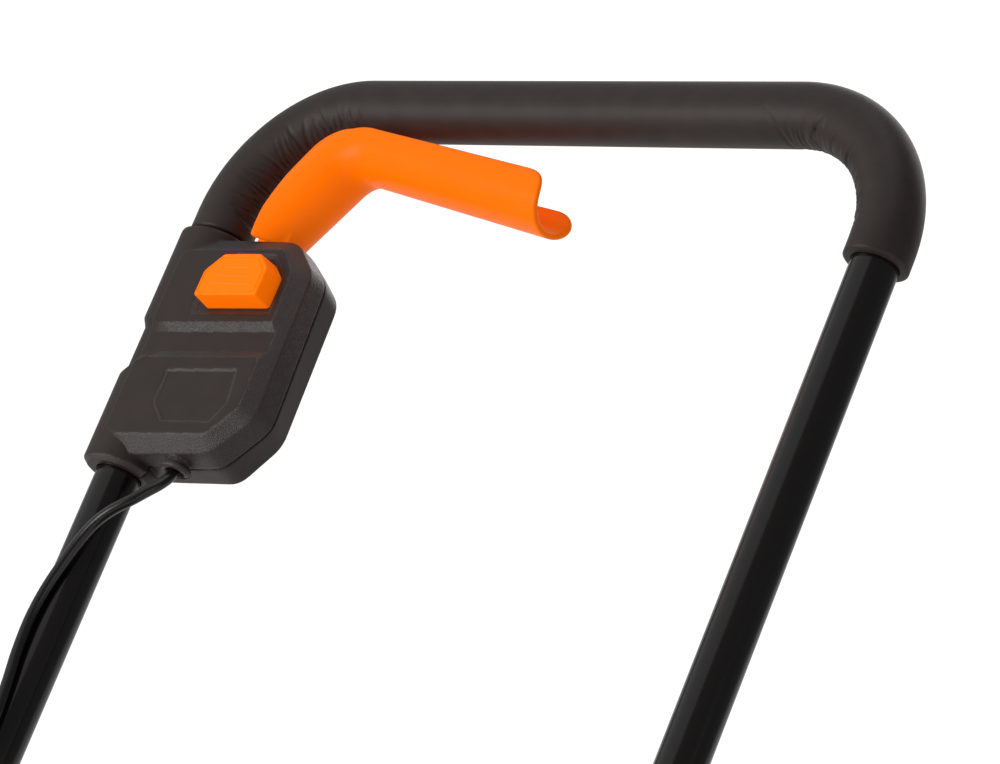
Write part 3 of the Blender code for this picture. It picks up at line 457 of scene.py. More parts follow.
def outline(corners, radius=0.0, spacing=0.0003, margin=0.012):
    """A rounded polygon's distance, kept on a fine grid for quick reading."""
    points = np.array(softened(corners, radius) if radius else corners)
    low, high = points.min(axis=0) - margin, points.max(axis=0) + margin
    count = np.ceil((high - low) / spacing).astype(int) + 2
    xs = low[0] + spacing * np.arange(count[0])
    ys = low[1] + spacing * np.arange(count[1])
    table = polygon_distance(xs[:, None], ys[None, :], [tuple(p) for p in points])

    def distance(x, y):
        near_x, near_y = np.clip(x, xs[0], xs[-1]), np.clip(y, ys[0], ys[-1])
        i = np.clip(((near_x - xs[0]) / spacing).astype(int), 0, count[0] - 2)
        j = np.clip(((near_y - ys[0]) / spacing).astype(int), 0, count[1] - 2)
        a, b = (near_x - xs[i]) / spacing, (near_y - ys[j]) / spacing
        inner = ((1 - a) * (1 - b) * table[i, j] + a * (1 - b) * table[i + 1, j]
                 + (1 - a) * b * table[i, j + 1] + a * b * table[i + 1, j + 1])
        return inner + np.hypot(x - near_x, y - near_y)

    return distance


def corner_curve(before, corner, after, radius, most, steps):
    """Points that round off one corner, using at most a share of the sides beside it."""
    corner = Vector(corner)
    back, ahead = Vector(before) - corner, Vector(after) - corner
    reach = min(radius, back.length * most, ahead.length * most)
    start, end = corner + back.normalized() * reach, corner + ahead.normalized() * reach
    shares = [i / steps for i in range(steps + 1)]
    return [tuple(start * (1 - t) ** 2 + corner * 2 * t * (1 - t) + end * t * t) for t in shares]


def softened(corners, radius, steps=5):
    """The polygon with its corners rounded."""
    out = []
    for before, corner, after in zip([corners[-1], *corners[:-1]], corners, [*corners[1:], corners[0]]):
        out += corner_curve(before, corner, after, radius, 0.45, steps)
    return out


def eased(line, radius, steps=4):
    """An open line of points with its inner corners rounded."""
    out = [line[0]]
    for before, corner, after in zip(line, line[1:], line[2:]):
        out += corner_curve(before, corner, after, radius, 0.48, steps)
    return [*out, line[-1]]


def gradient(field, points, step):
    """The slope of a field at points, by differences."""
    slopes = []
    for axis in range(3):
        shift = np.zeros(3)
        shift[axis] = step
        ahead, behind = points + shift, points - shift
        slopes.append((field(*ahead.T) - field(*behind.T)) / (2 * step))
    return np.stack(slopes, axis=1)


def field_mesh(field, low, high, cell, keep=1.0):
    """The surface where the field is zero, as quads (surface nets), pulled onto it and then thinned."""
    low, high = np.array(low, float), np.array(high, float)
    counts = np.ceil((high - low) / cell).astype(int) + 1
    grid = [low[i] + cell * np.arange(counts[i]) for i in range(3)]
    value = field(grid[0][:, None, None], grid[1][None, :, None], grid[2][None, None, :])
    value = np.broadcast_to(value, counts)
    inside = value < 0
    corners = [inside[i:i + counts[0] - 1, j:j + counts[1] - 1, k:k + counts[2] - 1]
               for i, j, k in product((0, 1), repeat=3)]
    count = sum(c.astype(np.int8) for c in corners)
    mixed = (count > 0) & (count < 8)
    number = np.full(mixed.shape, -1)
    number[mixed] = np.arange(mixed.sum())
    cells = np.argwhere(mixed)
    total, hits = np.zeros((len(cells), 3)), np.zeros(len(cells))
    for axis in range(3):
        others = [i for i in range(3) if i != axis]
        for steps in product((0, 1), repeat=2):
            start = cells.copy()
            start[:, others] += steps
            end = start.copy()
            end[:, axis] += 1
            near, far = value[tuple(start.T)], value[tuple(end.T)]
            crosses = (near < 0) != (far < 0)
            spot = start.astype(float)
            spot[:, axis] += np.where(crosses, near / np.where(crosses, near - far, 1), 0)
            total += spot * crosses[:, None]
            hits += crosses
    points = low + cell * total / hits[:, None]
    faces = []
    for axis in range(3):
        first, second = (axis + 1) % 3, (axis + 2) % 3
        behind = np.take(inside, range(counts[axis] - 1), axis)
        ahead = np.take(inside, range(1, counts[axis]), axis)
        edges = np.argwhere(behind != ahead)
        kept = (edges[:, first] > 0) & (edges[:, second] > 0)
        kept &= (edges[:, first] < counts[first] - 1) & (edges[:, second] < counts[second] - 1)
        edges = edges[kept]
        quad = []
        for a, b in ((0, 0), (1, 0), (1, 1), (0, 1)):
            spot = edges.copy()
            spot[:, first] -= a
            spot[:, second] -= b
            quad.append(number[tuple(spot.T)])
        quad = np.stack(quad, axis=1)
        outward = behind[tuple(edges.T)]
        quad[~outward] = quad[~outward][:, ::-1]
        faces.append(quad)
    for _ in range(3):
        slope = gradient(field, points, cell * 0.1)
        steep = np.maximum((slope ** 2).sum(axis=1, keepdims=True), 0.05)
        move = -field(*points.T)[:, None] * slope / steep
        length = np.linalg.norm(move, axis=1, keepdims=True)
        points = points + move * np.minimum(1, 0.5 * cell / np.maximum(length, 1e-12))
    mesh = mesh_of(points, np.concatenate(faces))
    if keep < 1:
        mesh = thinned(mesh, keep)
    return mesh


def thinned(mesh, keep):
    """The mesh with only a share of its faces kept."""
    obj = bpy.data.objects.new("thinned", mesh)
    bpy.context.collection.objects.link(obj)
    applied(obj, ("DECIMATE", {"ratio": keep}))
    mesh = obj.data
    bpy.data.objects.remove(obj)
    return mesh


def bend_radius(side):
    return BEND_LEFT if side < 0 else BEND_RIGHT


def leg_x(side, drop):
    """Where a leg's axis is across the handle, at a height along it."""
    return side * (HANDLE_WIDTH / 2 + tan(LEG_SPLAY) * (drop + bend_radius(side)))


def from_leg(x, y, z, squareness=2.0):
    """Distance from the left leg's axis; the section's outer side may be squarish."""
    across = (x - leg_x(-1, y)) * cos(LEG_SPLAY)
    outer = (np.abs(across) ** squareness + np.abs(z) ** squareness) ** (1 / squareness)
    return np.where(across < 0, outer, np.hypot(across, z))


# ---------------------------------------------------------------- switch box

# Outlines of the box seen from the front, at heights above the handle's plane
FACE = outline([
    (-0.2150, -0.1030), (-0.1474, -0.1007), (-0.1361, -0.1148), (-0.1317, -0.1974), (-0.1471, -0.2147),
    (-0.2108, -0.2179), (-0.2200, -0.2140), (-0.2200, -0.1060)
], 0.0030)
EDGE = outline([
    (-0.2150, -0.0922), (-0.1466, -0.0920), (-0.1266, -0.1114), (-0.1238, -0.2014), (-0.1453, -0.2233),
    (-0.1978, -0.2266), (-0.2200, -0.2266), (-0.2200, -0.0922)
], 0.0070)
SPLIT = outline([
    (-0.2150, -0.0916), (-0.1480, -0.0914), (-0.1262, -0.1108), (-0.1211, -0.2009), (-0.1433, -0.2254),
    (-0.1650, -0.2268), (-0.2200, -0.2272), (-0.2200, -0.0916)
], 0.0070)
BACK = outline([
    (-0.2150, -0.0925), (-0.1522, -0.0922), (-0.1306, -0.1118), (-0.1272, -0.1999), (-0.1463, -0.2243),
    (-0.1910, -0.2261), (-0.2200, -0.2261), (-0.2200, -0.0925)
], 0.0070)
COLLAR_CHAMFER = 0.0027
LABEL_DEPTH = 0.0009
TRAY_DEPTH = 0.0016
CAVITY_FLOOR = -0.2235
CAVITY_LEG_R = 0.0153                             # the wall round the tube, inside the box
NECK_MIDDLE, NECK_HALF_X, NECK_HALF_Z, NECK_FLOOR = -0.1755, 0.0230, 0.0082, -0.0985
CABLE_HOLE_R = 0.0050
SCREW_HOLE_R, SCREW_POST_R, SCREW_HEIGHT = 0.0036, 0.0050, -0.0165
EDGE_HEIGHT = 0.0130
BACK_HEIGHT = -0.0170

LABEL = outline([
    (-0.1939, -0.1772), (-0.1439, -0.1748), (-0.1405, -0.1955), (-0.1477, -0.2081), (-0.1823, -0.2094),
    (-0.1932, -0.1983)
], 0.0010)
BUTTON = outline([
    (-0.1864, -0.1374), (-0.1424, -0.1358), (-0.1423, -0.1188), (-0.1507, -0.1104), (-0.1766, -0.1112),
    (-0.1862, -0.1219)
], 0.0016)
BUTTON_TRAY = outline([
    (-0.1960, -0.1345), (-0.1940, -0.1425), (-0.1385, -0.1405), (-0.1400, -0.1160), (-0.1520, -0.1040),
    (-0.1800, -0.1045), (-0.1930, -0.1200)
], 0.0010)
VALLEY_SLANT = 0.041
VALLEY = (-0.1487, -0.1540, -0.1660, -0.1710)     # top edge, top of floor, bottom of floor, bottom edge
VALLEY_DEPTH = 0.0024
VALLEY_SPREAD = (0.0055, 0.0085)                  # how much it widens up and down round the sleeve
BOX_SCREWS = ((-0.1880, -0.1180), (-0.1400, -0.1220), (-0.1920, -0.2130), (-0.1420, -0.2020))


def valley_depth(x, y, z):
    """How far the groove across the box goes down, 0 away from it."""
    along = y - VALLEY_SLANT * (np.minimum(x, -0.13) + 0.216)
    turned = np.clip(np.arctan2(leg_x(-1, y) + 0.003 - x, z) / (0.27 * pi), 0, 1)
    turned = turned * turned * (3 - 2 * turned)
    upper = np.interp(along - VALLEY_SPREAD[0] * turned, (VALLEY[1], VALLEY[0]), (1, 0))
    lower = np.interp(along + VALLEY_SPREAD[1] * turned, (VALLEY[3], VALLEY[2]), (0, 1))
    return VALLEY_DEPTH * np.minimum(upper, lower)


def box_skin(x, y, z):
    """The box and its sleeve as one solid."""
    face, edge, split, back = FACE(x, y), EDGE(x, y), SPLIT(x, y), BACK(x, y)
    wall = split + (edge - split) * z / EDGE_HEIGHT
    bevel = edge + (face - edge) * (z - EDGE_HEIGHT) / (BOX_FRONT - EDGE_HEIGHT)
    rear = split + (back - split) * z / BACK_HEIGHT
    depth = valley_depth(x, y, z)
    slab = smooth_max(wall, bevel * 0.62, 0.0007)
    slab = smooth_max(slab, rear, 0.0008)
    slab = smooth_max(slab, z - BOX_FRONT + depth, 0.0007)
    slab = smooth_max(slab, -z - 0.0200, 0.0030)
    radius = from_leg(x, y, z, SLEEVE_SQUARENESS)
    sleeve = smooth_max(radius - SLEEVE_R + depth, SLEEVE_BOTTOM - y, 0.0008)
    collar = (radius - SLEEVE_R + COLLAR_CHAMFER - (y - SLEEVE_BOTTOM)) * 0.7
    sleeve = smooth_max(sleeve, collar, 0.0004)
    sleeve = smooth_max(sleeve, y - SLEEVE_TOP, 0.0035)
    return smooth_min(slab, sleeve, 0.0006)


def from_cable_exit(x, z):
    """Distance from the axis of the cable's exit."""
    return np.hypot(x - CABLE_EXIT.x, z - CABLE_EXIT.z + EXIT_DROP)


def box_shell(x, y, z):
    """The hollow box with its boss, recesses and openings."""
    skin = box_skin(x, y, z)
    radius, boss_radius = from_leg(x, y, z), from_cable_exit(x, z)
    boss = np.hypot(boss_radius - BOSS_RING[0], y - BOSS_RING[1]) - BOSS_RING[2]
    neck = np.maximum(boss_radius - BOSS_RING[0], np.maximum(y - BOSS_TOP, BOSS_RING[1] - y))
    boss = smooth_min(boss, neck, 0.0008)
    body = smooth_min(skin, boss, 0.0006)
    label = LABEL(x, y)
    label = smooth_max(label * 0.5 - (z - BOX_FRONT) * 0.8, BOX_FRONT - LABEL_DEPTH - z, 0.0006)
    tray = BUTTON_TRAY(x, y)
    tray = smooth_max(tray * 0.6 - (z - BOX_FRONT) * 0.6, BOX_FRONT - TRAY_DEPTH - z, 0.0012)
    body = smooth_max(body, -label, 0.0006)
    body = smooth_max(body, -tray, 0.0010)
    cavity = np.maximum(skin + BOX_WALL, CAVITY_LEG_R - radius)
    cavity = np.maximum(cavity, CAVITY_FLOOR - y)
    body = np.maximum(body, -cavity)
    well = smooth_max(BUTTON(x, y) - 0.0006, 0.004 - z, 0.0004)
    body = smooth_max(body, -well, 0.0006)
    slot = np.maximum(np.abs(x - NECK_MIDDLE) - NECK_HALF_X, np.abs(z) - NECK_HALF_Z)
    slot = np.maximum(slot, NECK_FLOOR - y)
    body = smooth_max(body, -slot, 0.0008)
    hole = np.maximum(boss_radius - CABLE_HOLE_R, y + 0.221)
    body = smooth_max(body, -hole, 0.0008)
    return smooth_max(body, TUBE_R + GAP - radius, 0.0006)


def front_shell(x, y, z):
    return smooth_max(box_shell(x, y, z), GAP / 2 - z, 0.0008)


def rear_shell(x, y, z):
    """The box behind the handle's plane, with posts and holes for its screws."""
    body = smooth_max(box_shell(x, y, z), z + GAP / 2, 0.0008)
    for sx, sy in BOX_SCREWS:
        hole = np.maximum(np.hypot(x - sx, y - sy) - SCREW_HOLE_R, z - SCREW_HEIGHT)
        post = np.maximum(np.hypot(x - sx, y - sy) - SCREW_POST_R, np.abs(z + 0.010) - 0.0098)
        body = smooth_min(body, np.maximum(post, z + GAP / 2), 0.0006)
        body = smooth_max(body, -hole, 0.0006)
    return body


BOX_CELL = 0.00065


def grainy(face):
    """The bevels beside the leg and the chamfer of its collar have the coarse grain."""
    x, y, z = face.center
    outside = from_leg(x, y, z, SLEEVE_SQUARENESS) - SLEEVE_R
    collar = -COLLAR_CHAMFER < outside < -0.0002 and y < SLEEVE_BOTTOM + COLLAR_CHAMFER
    return abs(face.normal.z) < 0.96 and (outside > 0.0006 or collar)


def make_switch_box():
    """Both shells of the box and the screws in its rear."""
    low, high = (-0.2400, -0.2380, -0.0010), (-0.1170, -0.0830, 0.0220)
    mesh = field_mesh(front_shell, low, high, BOX_CELL, 0.5)
    for face in mesh.polygons:
        face.material_index = int(grainy(face))
    shell = piece("switch_box_front_shell", mesh, "plastic", "upper_handle", ["switch_box_front"])
    shell.data.materials.append(LOOKS["grain"])
    low, high = (-0.2400, -0.2380, -0.0220), (-0.1170, -0.0830, 0.0010)
    mesh = field_mesh(rear_shell, low, high, BOX_CELL, 0.5)
    piece("switch_box_rear_shell", mesh, "plastic", "upper_handle", ["switch_box_rear"])
    screws = [screw_head(Vector((x, y, SCREW_HEIGHT)), (0, 0, -1), 0.0031) for x, y in BOX_SCREWS]
    piece("switch_box_screws", merged(screws), "steel", "upper_handle")


def screw_head(place, direction, radius, height=0.0018):
    """A pan head with a hexagonal socket."""
    socket = radius * 0.48
    profile = [(0, -0.004), (radius * 0.55, -0.004), (radius * 0.55, 0), (radius, 0),
               (radius, height * 0.5), (radius * 0.9, height * 0.85), (radius * 0.7, height),
               (socket * 1.1, height), (socket, height * 0.9), (socket, height * 0.25), (0, height * 0.2)]
    return lathe(profile, place, direction, 24)


# The button. A rib is its left end, right end and height along the box
RIBS = ((-0.1729, -0.1551, -0.1192), (-0.1752, -0.1525, -0.1245), (-0.1784, -0.1500, -0.1295))
BUTTON_TOP = 0.0310
BUTTON_FOOT = 0.0090
BUTTON_DRAFT = 0.045
GROOVE_INSET = 0.0021
SPRING_POCKET = (-0.1645, -0.1245)                # the return spring goes into it as the button is pressed
POCKET_R = 0.0045
POCKET_DEPTH = 0.0052


def button_field(x, y, z):
    """The button: drafted sides, a groove round its top, three ribs and the spring's pocket below."""
    edge = BUTTON(x, y)
    body = smooth_max(edge - (BUTTON_TOP - z) * BUTTON_DRAFT, z - BUTTON_TOP, 0.0014)
    groove = np.hypot(edge + GROOVE_INSET, z - BUTTON_TOP) - 0.0005
    body = smooth_max(body, -groove, 0.0004)
    for left, right, height in RIBS:
        reach = np.maximum(np.abs(x - (left + right) / 2) - (right - left) / 2, 0)
        rib = np.hypot(np.hypot(reach, y - height), z - BUTTON_TOP + 0.0002) - 0.0006
        body = smooth_min(body, rib, 0.0004)
    from_spring = np.hypot(x - SPRING_POCKET[0], y - SPRING_POCKET[1])
    pocket = np.maximum(from_spring - POCKET_R, z - BUTTON_FOOT - POCKET_DEPTH)
    return smooth_max(np.maximum(body, -pocket), BUTTON_FOOT - z, 0.0006)


def make_button():
    mesh = field_mesh(button_field, (-0.190, -0.141, 0.007), (-0.139, -0.107, 0.033), 0.0004, 0.5)
    piece("lock_button_cap", mesh, "button_orange", "button", ["lock_button"])


# ---------------------------------------------------------------- bail lever

ARM = (LEVER_CORNER - LEVER_ARM_FOOT).normalized()
GRIP = (LEVER_END - LEVER_CORNER).normalized()
KNEE_TURN = ARM.angle(GRIP)
KNEE_START = LEVER_CORNER - ARM * LEVER_KNEE_R * tan(KNEE_TURN / 2)
KNEE_END = LEVER_CORNER + GRIP * LEVER_KNEE_R * tan(KNEE_TURN / 2)
KNEE_CENTRE = KNEE_START + Vector((ARM.y, -ARM.x)) * LEVER_KNEE_R
ARM_LENGTH = (KNEE_START - LEVER_ARM_FOOT).length
KNEE_LENGTH = LEVER_KNEE_R * KNEE_TURN
LEVER_LENGTH = ARM_LENGTH + KNEE_LENGTH + (LEVER_END - KNEE_END).length

# Height of the gutter's lips above its axis, along the lever
LIP_AT = [0, ARM_LENGTH * 0.3, ARM_LENGTH * 0.65, ARM_LENGTH, ARM_LENGTH + KNEE_LENGTH * 0.6,
          ARM_LENGTH + KNEE_LENGTH, LEVER_LENGTH]
LIP_HEIGHT = [-0.0108, -0.0018, 0.0057, 0.0097, 0.0020, 0.0015, 0.0055]
LIP_TILT = 0.15                                   # the front lip is the higher one
LIP_CORNER_R = 0.017
FOOT_CUT_AT, FOOT_CUT = (-0.1870, -0.1840), (-0.0887, -0.0910)    # the slanted end beside the switch box
PIVOT_HOLE_R = 0.0028
NECK = outline([
    (-0.1845, -0.0860), (-0.1850, -0.0950), (-0.1925, -0.1010), (-0.1925, -0.1060), (-0.1880, -0.1125),
    (-0.1830, -0.1115), (-0.1620, -0.0950), (-0.1610, -0.0700), (-0.1780, -0.0730)
], 0.0010)


def along_lever(x, y):
    """(distance along the lever's axis, offset from it towards the bar)"""
    arm_s = (x - LEVER_ARM_FOOT.x) * ARM.x + (y - LEVER_ARM_FOOT.y) * ARM.y
    arm_q = -(x - LEVER_ARM_FOOT.x) * ARM.y + (y - LEVER_ARM_FOOT.y) * ARM.x
    grip_s = (x - KNEE_END.x) * GRIP.x + (y - KNEE_END.y) * GRIP.y
    grip_q = -(x - KNEE_END.x) * GRIP.y + (y - KNEE_END.y) * GRIP.x
    dx, dy = x - KNEE_CENTRE.x, y - KNEE_CENTRE.y
    turn = atan2(ARM.x, -ARM.y) - np.arctan2(dy, dx)
    knee_q = np.hypot(dx, dy) - LEVER_KNEE_R
    in_arm, in_grip = arm_s < ARM_LENGTH, grip_s > 0
    s = np.where(in_arm, arm_s, np.where(in_grip, ARM_LENGTH + KNEE_LENGTH + grip_s,
                                         ARM_LENGTH + turn * LEVER_KNEE_R))
    q = np.where(in_arm, arm_q, np.where(in_grip, grip_q, knee_q))
    return s, q


def lever_field(x, y, z):
    """The gutter with its rounded lips, and the neck that carries it on the pivot pin."""
    s, q = along_lever(x, y)
    r = np.hypot(q, z)
    middle = GUTTER_R - GUTTER_WALL / 2
    lip = np.interp(s, LIP_AT, LIP_HEIGHT) + LIP_TILT * z
    top = smooth_max(q - lip, s - LEVER_LENGTH - 0.0012, LIP_CORNER_R)
    gutter = smooth_max(np.abs(r - middle) - GUTTER_WALL / 2, top, 0.0016)
    gutter = smooth_max(gutter, np.interp(x, FOOT_CUT_AT, FOOT_CUT) - y, 0.0016)
    neck = NECK(x, y)
    neck = smooth_max(neck, np.abs(z) - 0.0055, 0.0012)
    body = smooth_min(gutter, neck, 0.0030)
    return np.maximum(body, PIVOT_HOLE_R - np.hypot(x - PIVOT.x, y - PIVOT.y))


def make_lever():
    mesh = field_mesh(lever_field, (-0.208, -0.116, -0.0215), (0.016, 0.001, 0.0215), 0.0008, 0.6)
    piece("bail_lever_body", mesh, "orange", "bail", ["bail_lever"], crease=60)


# ---------------------------------------------------------------- handle tube and foam

BEND_STEPS = 32


def handle_path(left_end, right_end, spacing=0.004):
    """The bent tube's axis, evenly spaced, from one leg's end over the crossbar to the other's."""
    corners = [Vector((leg_x(-1, left_end), left_end, 0))]
    for side in (-1, 1):
        bend = bend_radius(side)
        centre = Vector((side * (HANDLE_WIDTH / 2 - bend), -bend, 0))
        for i in range(BEND_STEPS + 1):
            turn = 0.5 * pi * (i if side < 0 else BEND_STEPS - i) / BEND_STEPS
            corners.append(centre + Vector((side * bend * cos(turn), bend * sin(turn), 0)))
    corners.append(Vector((leg_x(1, right_end), right_end, 0)))
    return evenly(corners, spacing)


def evenly(points, spacing):
    """The polyline resampled at an even spacing."""
    lengths = np.cumsum([0] + [(q - p).length for p, q in zip(points, points[1:])])
    count = max(2, int(round(lengths[-1] / spacing)) + 1)
    goals = np.linspace(0, lengths[-1], count)
    columns = [np.interp(goals, lengths, [p[i] for p in points]) for i in range(3)]
    return [Vector(row) for row in zip(*columns)]


def make_tube():
    mesh = hollow_tube(handle_path(-FOLD_DROP - LEG_TAIL, -FOLD_DROP - LEG_TAIL, 0.006))
    piece("handle_tube", mesh, "tube", "upper_handle", ["upper_handle_tube"])


def wrinkles(seed, first, last):
    """Creases of the foam inside one bend: (place, slant, half length as an angle, depth, width)."""
    random = np.random.default_rng(seed)
    creases = []
    place = first
    while place < last:
        creases.append((place, random.normal(0, 0.005), random.uniform(0.6, 1.25),
                        random.uniform(0.00035, 0.00100), random.uniform(0.0006, 0.0011)))
        place += random.uniform(0.0018, 0.0042)
    return creases


def make_foam():
    """The foam sleeve: rounded ends, a bulge by the switch box and wrinkles inside both bends."""
    path = handle_path(FOAM_ENDS[0], FOAM_ENDS[1], 0.0011)
    lengths = np.cumsum([0] + [(q - p).length for p, q in zip(path, path[1:])])
    left_start = abs(FOAM_ENDS[0]) - BEND_LEFT
    right_end = lengths[-1] - (abs(FOAM_ENDS[1]) - BEND_RIGHT)
    creases = wrinkles(3, left_start - 0.004, left_start + 0.5 * pi * BEND_LEFT + 0.006)
    creases += wrinkles(8, right_end - 0.5 * pi * BEND_RIGHT - 0.002, right_end - 0.006)
    sides = 96
    angles = 2 * pi * np.arange(sides) / sides
    across, out = np.cos(angles), np.sin(angles)
    inner_angle = np.abs(angles - pi)      # 0 on the inner side of the bends

    def section(k):
        dent = np.zeros(sides)
        for place, slant, reach, depth, width in creases:
            offset = lengths[k] - place
            if abs(offset) > 0.012:
                continue
            bent = offset - slant * np.sin(angles) * inner_angle
            dent += depth * np.exp(-(bent / width) ** 2) * np.exp(-(inner_angle / reach) ** 4)
        end = min(lengths[k], lengths[-1] - lengths[k])
        edge = FOAM_EDGE_R - sqrt(max(0, FOAM_EDGE_R ** 2 - max(0, FOAM_EDGE_R - end) ** 2))
        plump = FOAM_PLUMP * exp(-(lengths[k] / PLUMP_REACH) ** 2) * np.maximum(across, 0) ** 2
        radius = FOAM_R - edge - dent + plump
        return list(zip(radius * across, radius * out))

    outer = sweep(path, section)
    inner = sweep(path, lambda k: circle(TUBE_R + GAP, sides))
    mesh = strip(outer + inner[::-1], joined_ends=True)
    foam = piece("foam_sleeve", mesh, "foam", "upper_handle", ["foam_grip"], crease=60)


# ---------------------------------------------------------------- cable

CABLE_ROUTE = (
    (-0.1710, -0.2150, 0.0065), (-0.1710, -0.2240, 0.0062), (-0.1706, -0.2335, 0.0068),
    (-0.1712, -0.2415, 0.0108), (-0.1745, -0.2490, 0.0150), (-0.1800, -0.2560, 0.0176),
    (-0.1890, -0.2633, 0.0188), (-0.1975, -0.2715, 0.0184), (-0.2045, -0.2830, 0.0174),
    (-0.2100, -0.2975, 0.0166), (-0.2142, -0.3130, 0.0162), (-0.2160, -0.3300, 0.0160),
    (-0.2148, -0.3490, 0.0160), (-0.2118, -0.3680, 0.0161), (-0.2096, -0.3900, 0.0162),
    (-0.2098, -0.4200, 0.0162), (-0.2122, -0.4500, 0.0162), (-0.2110, -0.4850, 0.0172),
    (-0.2030, -0.5200, 0.0212), (-0.1920, -0.5550, 0.0192), (-0.1875, -0.5950, 0.0168),
    (-0.1864, -0.6500, 0.0163), (-0.1864, -0.7200, 0.0163), (-0.1845, -0.7700, 0.0190),
    (-0.1750, -0.8150, 0.0280),
)
CABLE_INLET = Vector((-0.1250, 0.095, 0.235))
CURVE_STEPS = 24
CABLE_TAIL = ((-0.028, 0.020, 0.018), (-0.012, 0.008, 0.002), (-0.0005, 0, 0))


def smooth_curve(points, spacing):
    """A Catmull-Rom curve through the points, evenly resampled."""
    points = [Vector(p) for p in points]
    ends = [2 * points[0] - points[1], *points, 2 * points[-1] - points[-2]]
    fine = []
    for a, b, c, d in zip(ends, ends[1:], ends[2:], ends[3:]):
        for i in range(CURVE_STEPS):
            t = i / CURVE_STEPS
            cubic = 3 * b - a - 3 * c + d
            fine.append(0.5 * (2 * b + (c - a) * t + (2 * a - 5 * b + 4 * c - d) * t ** 2 + cubic * t ** 3))
    fine.append(points[-1])
    return evenly(fine, spacing)


def make_grommet():
    """The soft sleeve where the cable leaves the box."""
    profile = [(CABLE_R + 0.0004, -0.003), (0.0042, -0.003), (0.0045, 0.001), (0.0045, 0.0036),
               (0.0040, 0.0044), (CABLE_R + 0.0010, 0.0044), (CABLE_R + 0.0004, 0.0036)]
    centre = CABLE_EXIT + Vector((0, 0.0030, 0))
    mesh = lathe(profile, centre, (0, -1, 0), 32)
    piece("cable_sleeve", mesh, "rubber", "upper_handle", ["cable_grommet"])


def make_cable():
    inlet = CABLE_INLET + Vector((0, SHIFT, 0))
    tail = [HANDLE.inverted() @ (inlet + Vector(step)) for step in CABLE_TAIL]
    path = smooth_curve([*CABLE_ROUTE, *tail], 0.003)
    mesh = strip(sweep(path, lambda k: circle(CABLE_R, 24)))
    cable = piece("cable_lead", mesh, "cable", None, ["power_cable"], crease=60)
    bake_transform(cable)


# ---------------------------------------------------------------- moulded pieces below the picture

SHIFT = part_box("front_axle")[0][1] + 0.280        # from the CAD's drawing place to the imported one
MACHINE = Matrix.Translation((0, SHIFT, 0))
DECK_HALF = 0.220
DECK_FRONT = -0.300
DECK_REAR = 0.205
DECK_CORNERS = (0.085, 0.045)
SKIRT_Z = 0.050
DECK_TOP = 0.165
SHEET = 0.003
MOTOR_Y = -0.060
HOOD_HALF = 0.135
HOOD_FRONT = -0.262
HOOD_REAR = 0.112
HOOD_TOP = 0.300
HOOD_CORNERS = (0.060, 0.030)                     # corner radii in front and at the rear
TUNNEL_HALF = 0.110
TUNNEL_TOP = 0.225
FRONT_AXLE = (-0.275, 0.085)
REAR_AXLE = (0.175, 0.100)
AXLE_R = 0.005
WHEEL_IN = 0.2245
WHEEL_WIDTH = 0.038
BAG_FRONT = 0.290
BAG_REAR = 0.600
BAG_HALF = 0.163
BAG_CORNERS = (0.012, 0.055)
BAG_FLOOR = 0.130
BAG_SPLIT = 0.325
BAG_TOP = 0.405
SNOUT_FRONT = 0.212
LID_HINGE = (0.0085, HOOD_TOP + 0.006)
FLAP_HINGE = (0.197, TUNNEL_TOP + SHEET + 0.006)


def block(low, high, bevel=0.0, steps=3):
    """A box, its edges rounded."""
    bm = bmesh.new()
    bmesh.ops.create_cube(bm, size=1)
    low, high = Vector(low), Vector(high)
    for vert in bm.verts:
        vert.co = Vector([(a + b) / 2 + c * (b - a) for a, b, c in zip(low, high, vert.co)])
    if bevel:
        bmesh.ops.bevel(bm, geom=list(bm.edges), offset=bevel, segments=steps, affect="EDGES", profile=0.5)
    mesh = bpy.data.meshes.new("block")
    bm.to_mesh(mesh)
    bm.free()
    return mesh


def combined(mesh, others, operation):
    """The mesh with others cut from it or joined to it."""
    obj = bpy.data.objects.new("combined", mesh)
    bpy.context.collection.objects.link(obj)
    made = []
    for other in others:
        cutter = bpy.data.objects.new("operand", other)
        bpy.context.collection.objects.link(cutter)
        made.append(cutter)
        modifier = obj.modifiers.new("boolean", "BOOLEAN")
        modifier.operation = operation
        modifier.object = cutter
        modifier.solver = "EXACT"
    applied(obj)
    for cutter in made:
        data = cutter.data
        bpy.data.objects.remove(cutter)
        bpy.data.meshes.remove(data)
    mesh = obj.data
    bpy.data.objects.remove(obj)
    return mesh


def rounded(half_x, low_y, high_y, low_radius, high_radius, steps=12):
    """A rectangle across X with its corners rounded, two radii."""
    corners = [
        (-half_x + low_radius, low_y + low_radius, low_radius, pi),
        (half_x - low_radius, low_y + low_radius, low_radius, 1.5 * pi),
        (half_x - high_radius, high_y - high_radius, high_radius, 0),
        (-half_x + high_radius, high_y - high_radius, high_radius, 0.5 * pi),
    ]
    points = []
    for x, y, radius, start in corners:
        for i in range(steps + 1):
            turn = start + 0.5 * pi * i / steps
            points.append((x + radius * cos(turn), y + radius * sin(turn)))
    return points


def level(points, z):
    """A flat outline at a height."""
    return [Vector((x, y, z)) for x, y in points]


def deck_ring(z, pull):
    """The deck's outline at a height, drawn in by pull."""
    front_r, rear_r = max(DECK_CORNERS[0] - pull, 0.02), max(DECK_CORNERS[1] - pull, 0.012)
    return level(rounded(DECK_HALF - pull, DECK_FRONT + pull, DECK_REAR - pull, front_r, rear_r), z)


def hood_ring(z, pull, lean, inset=0.0):
    """The hood's outline at a height; lean draws in its front only."""
    return level(rounded(HOOD_HALF - inset - pull, HOOD_FRONT + inset + pull + lean,
                         HOOD_REAR - inset - pull, HOOD_CORNERS[0] - inset, HOOD_CORNERS[1] - inset), z)


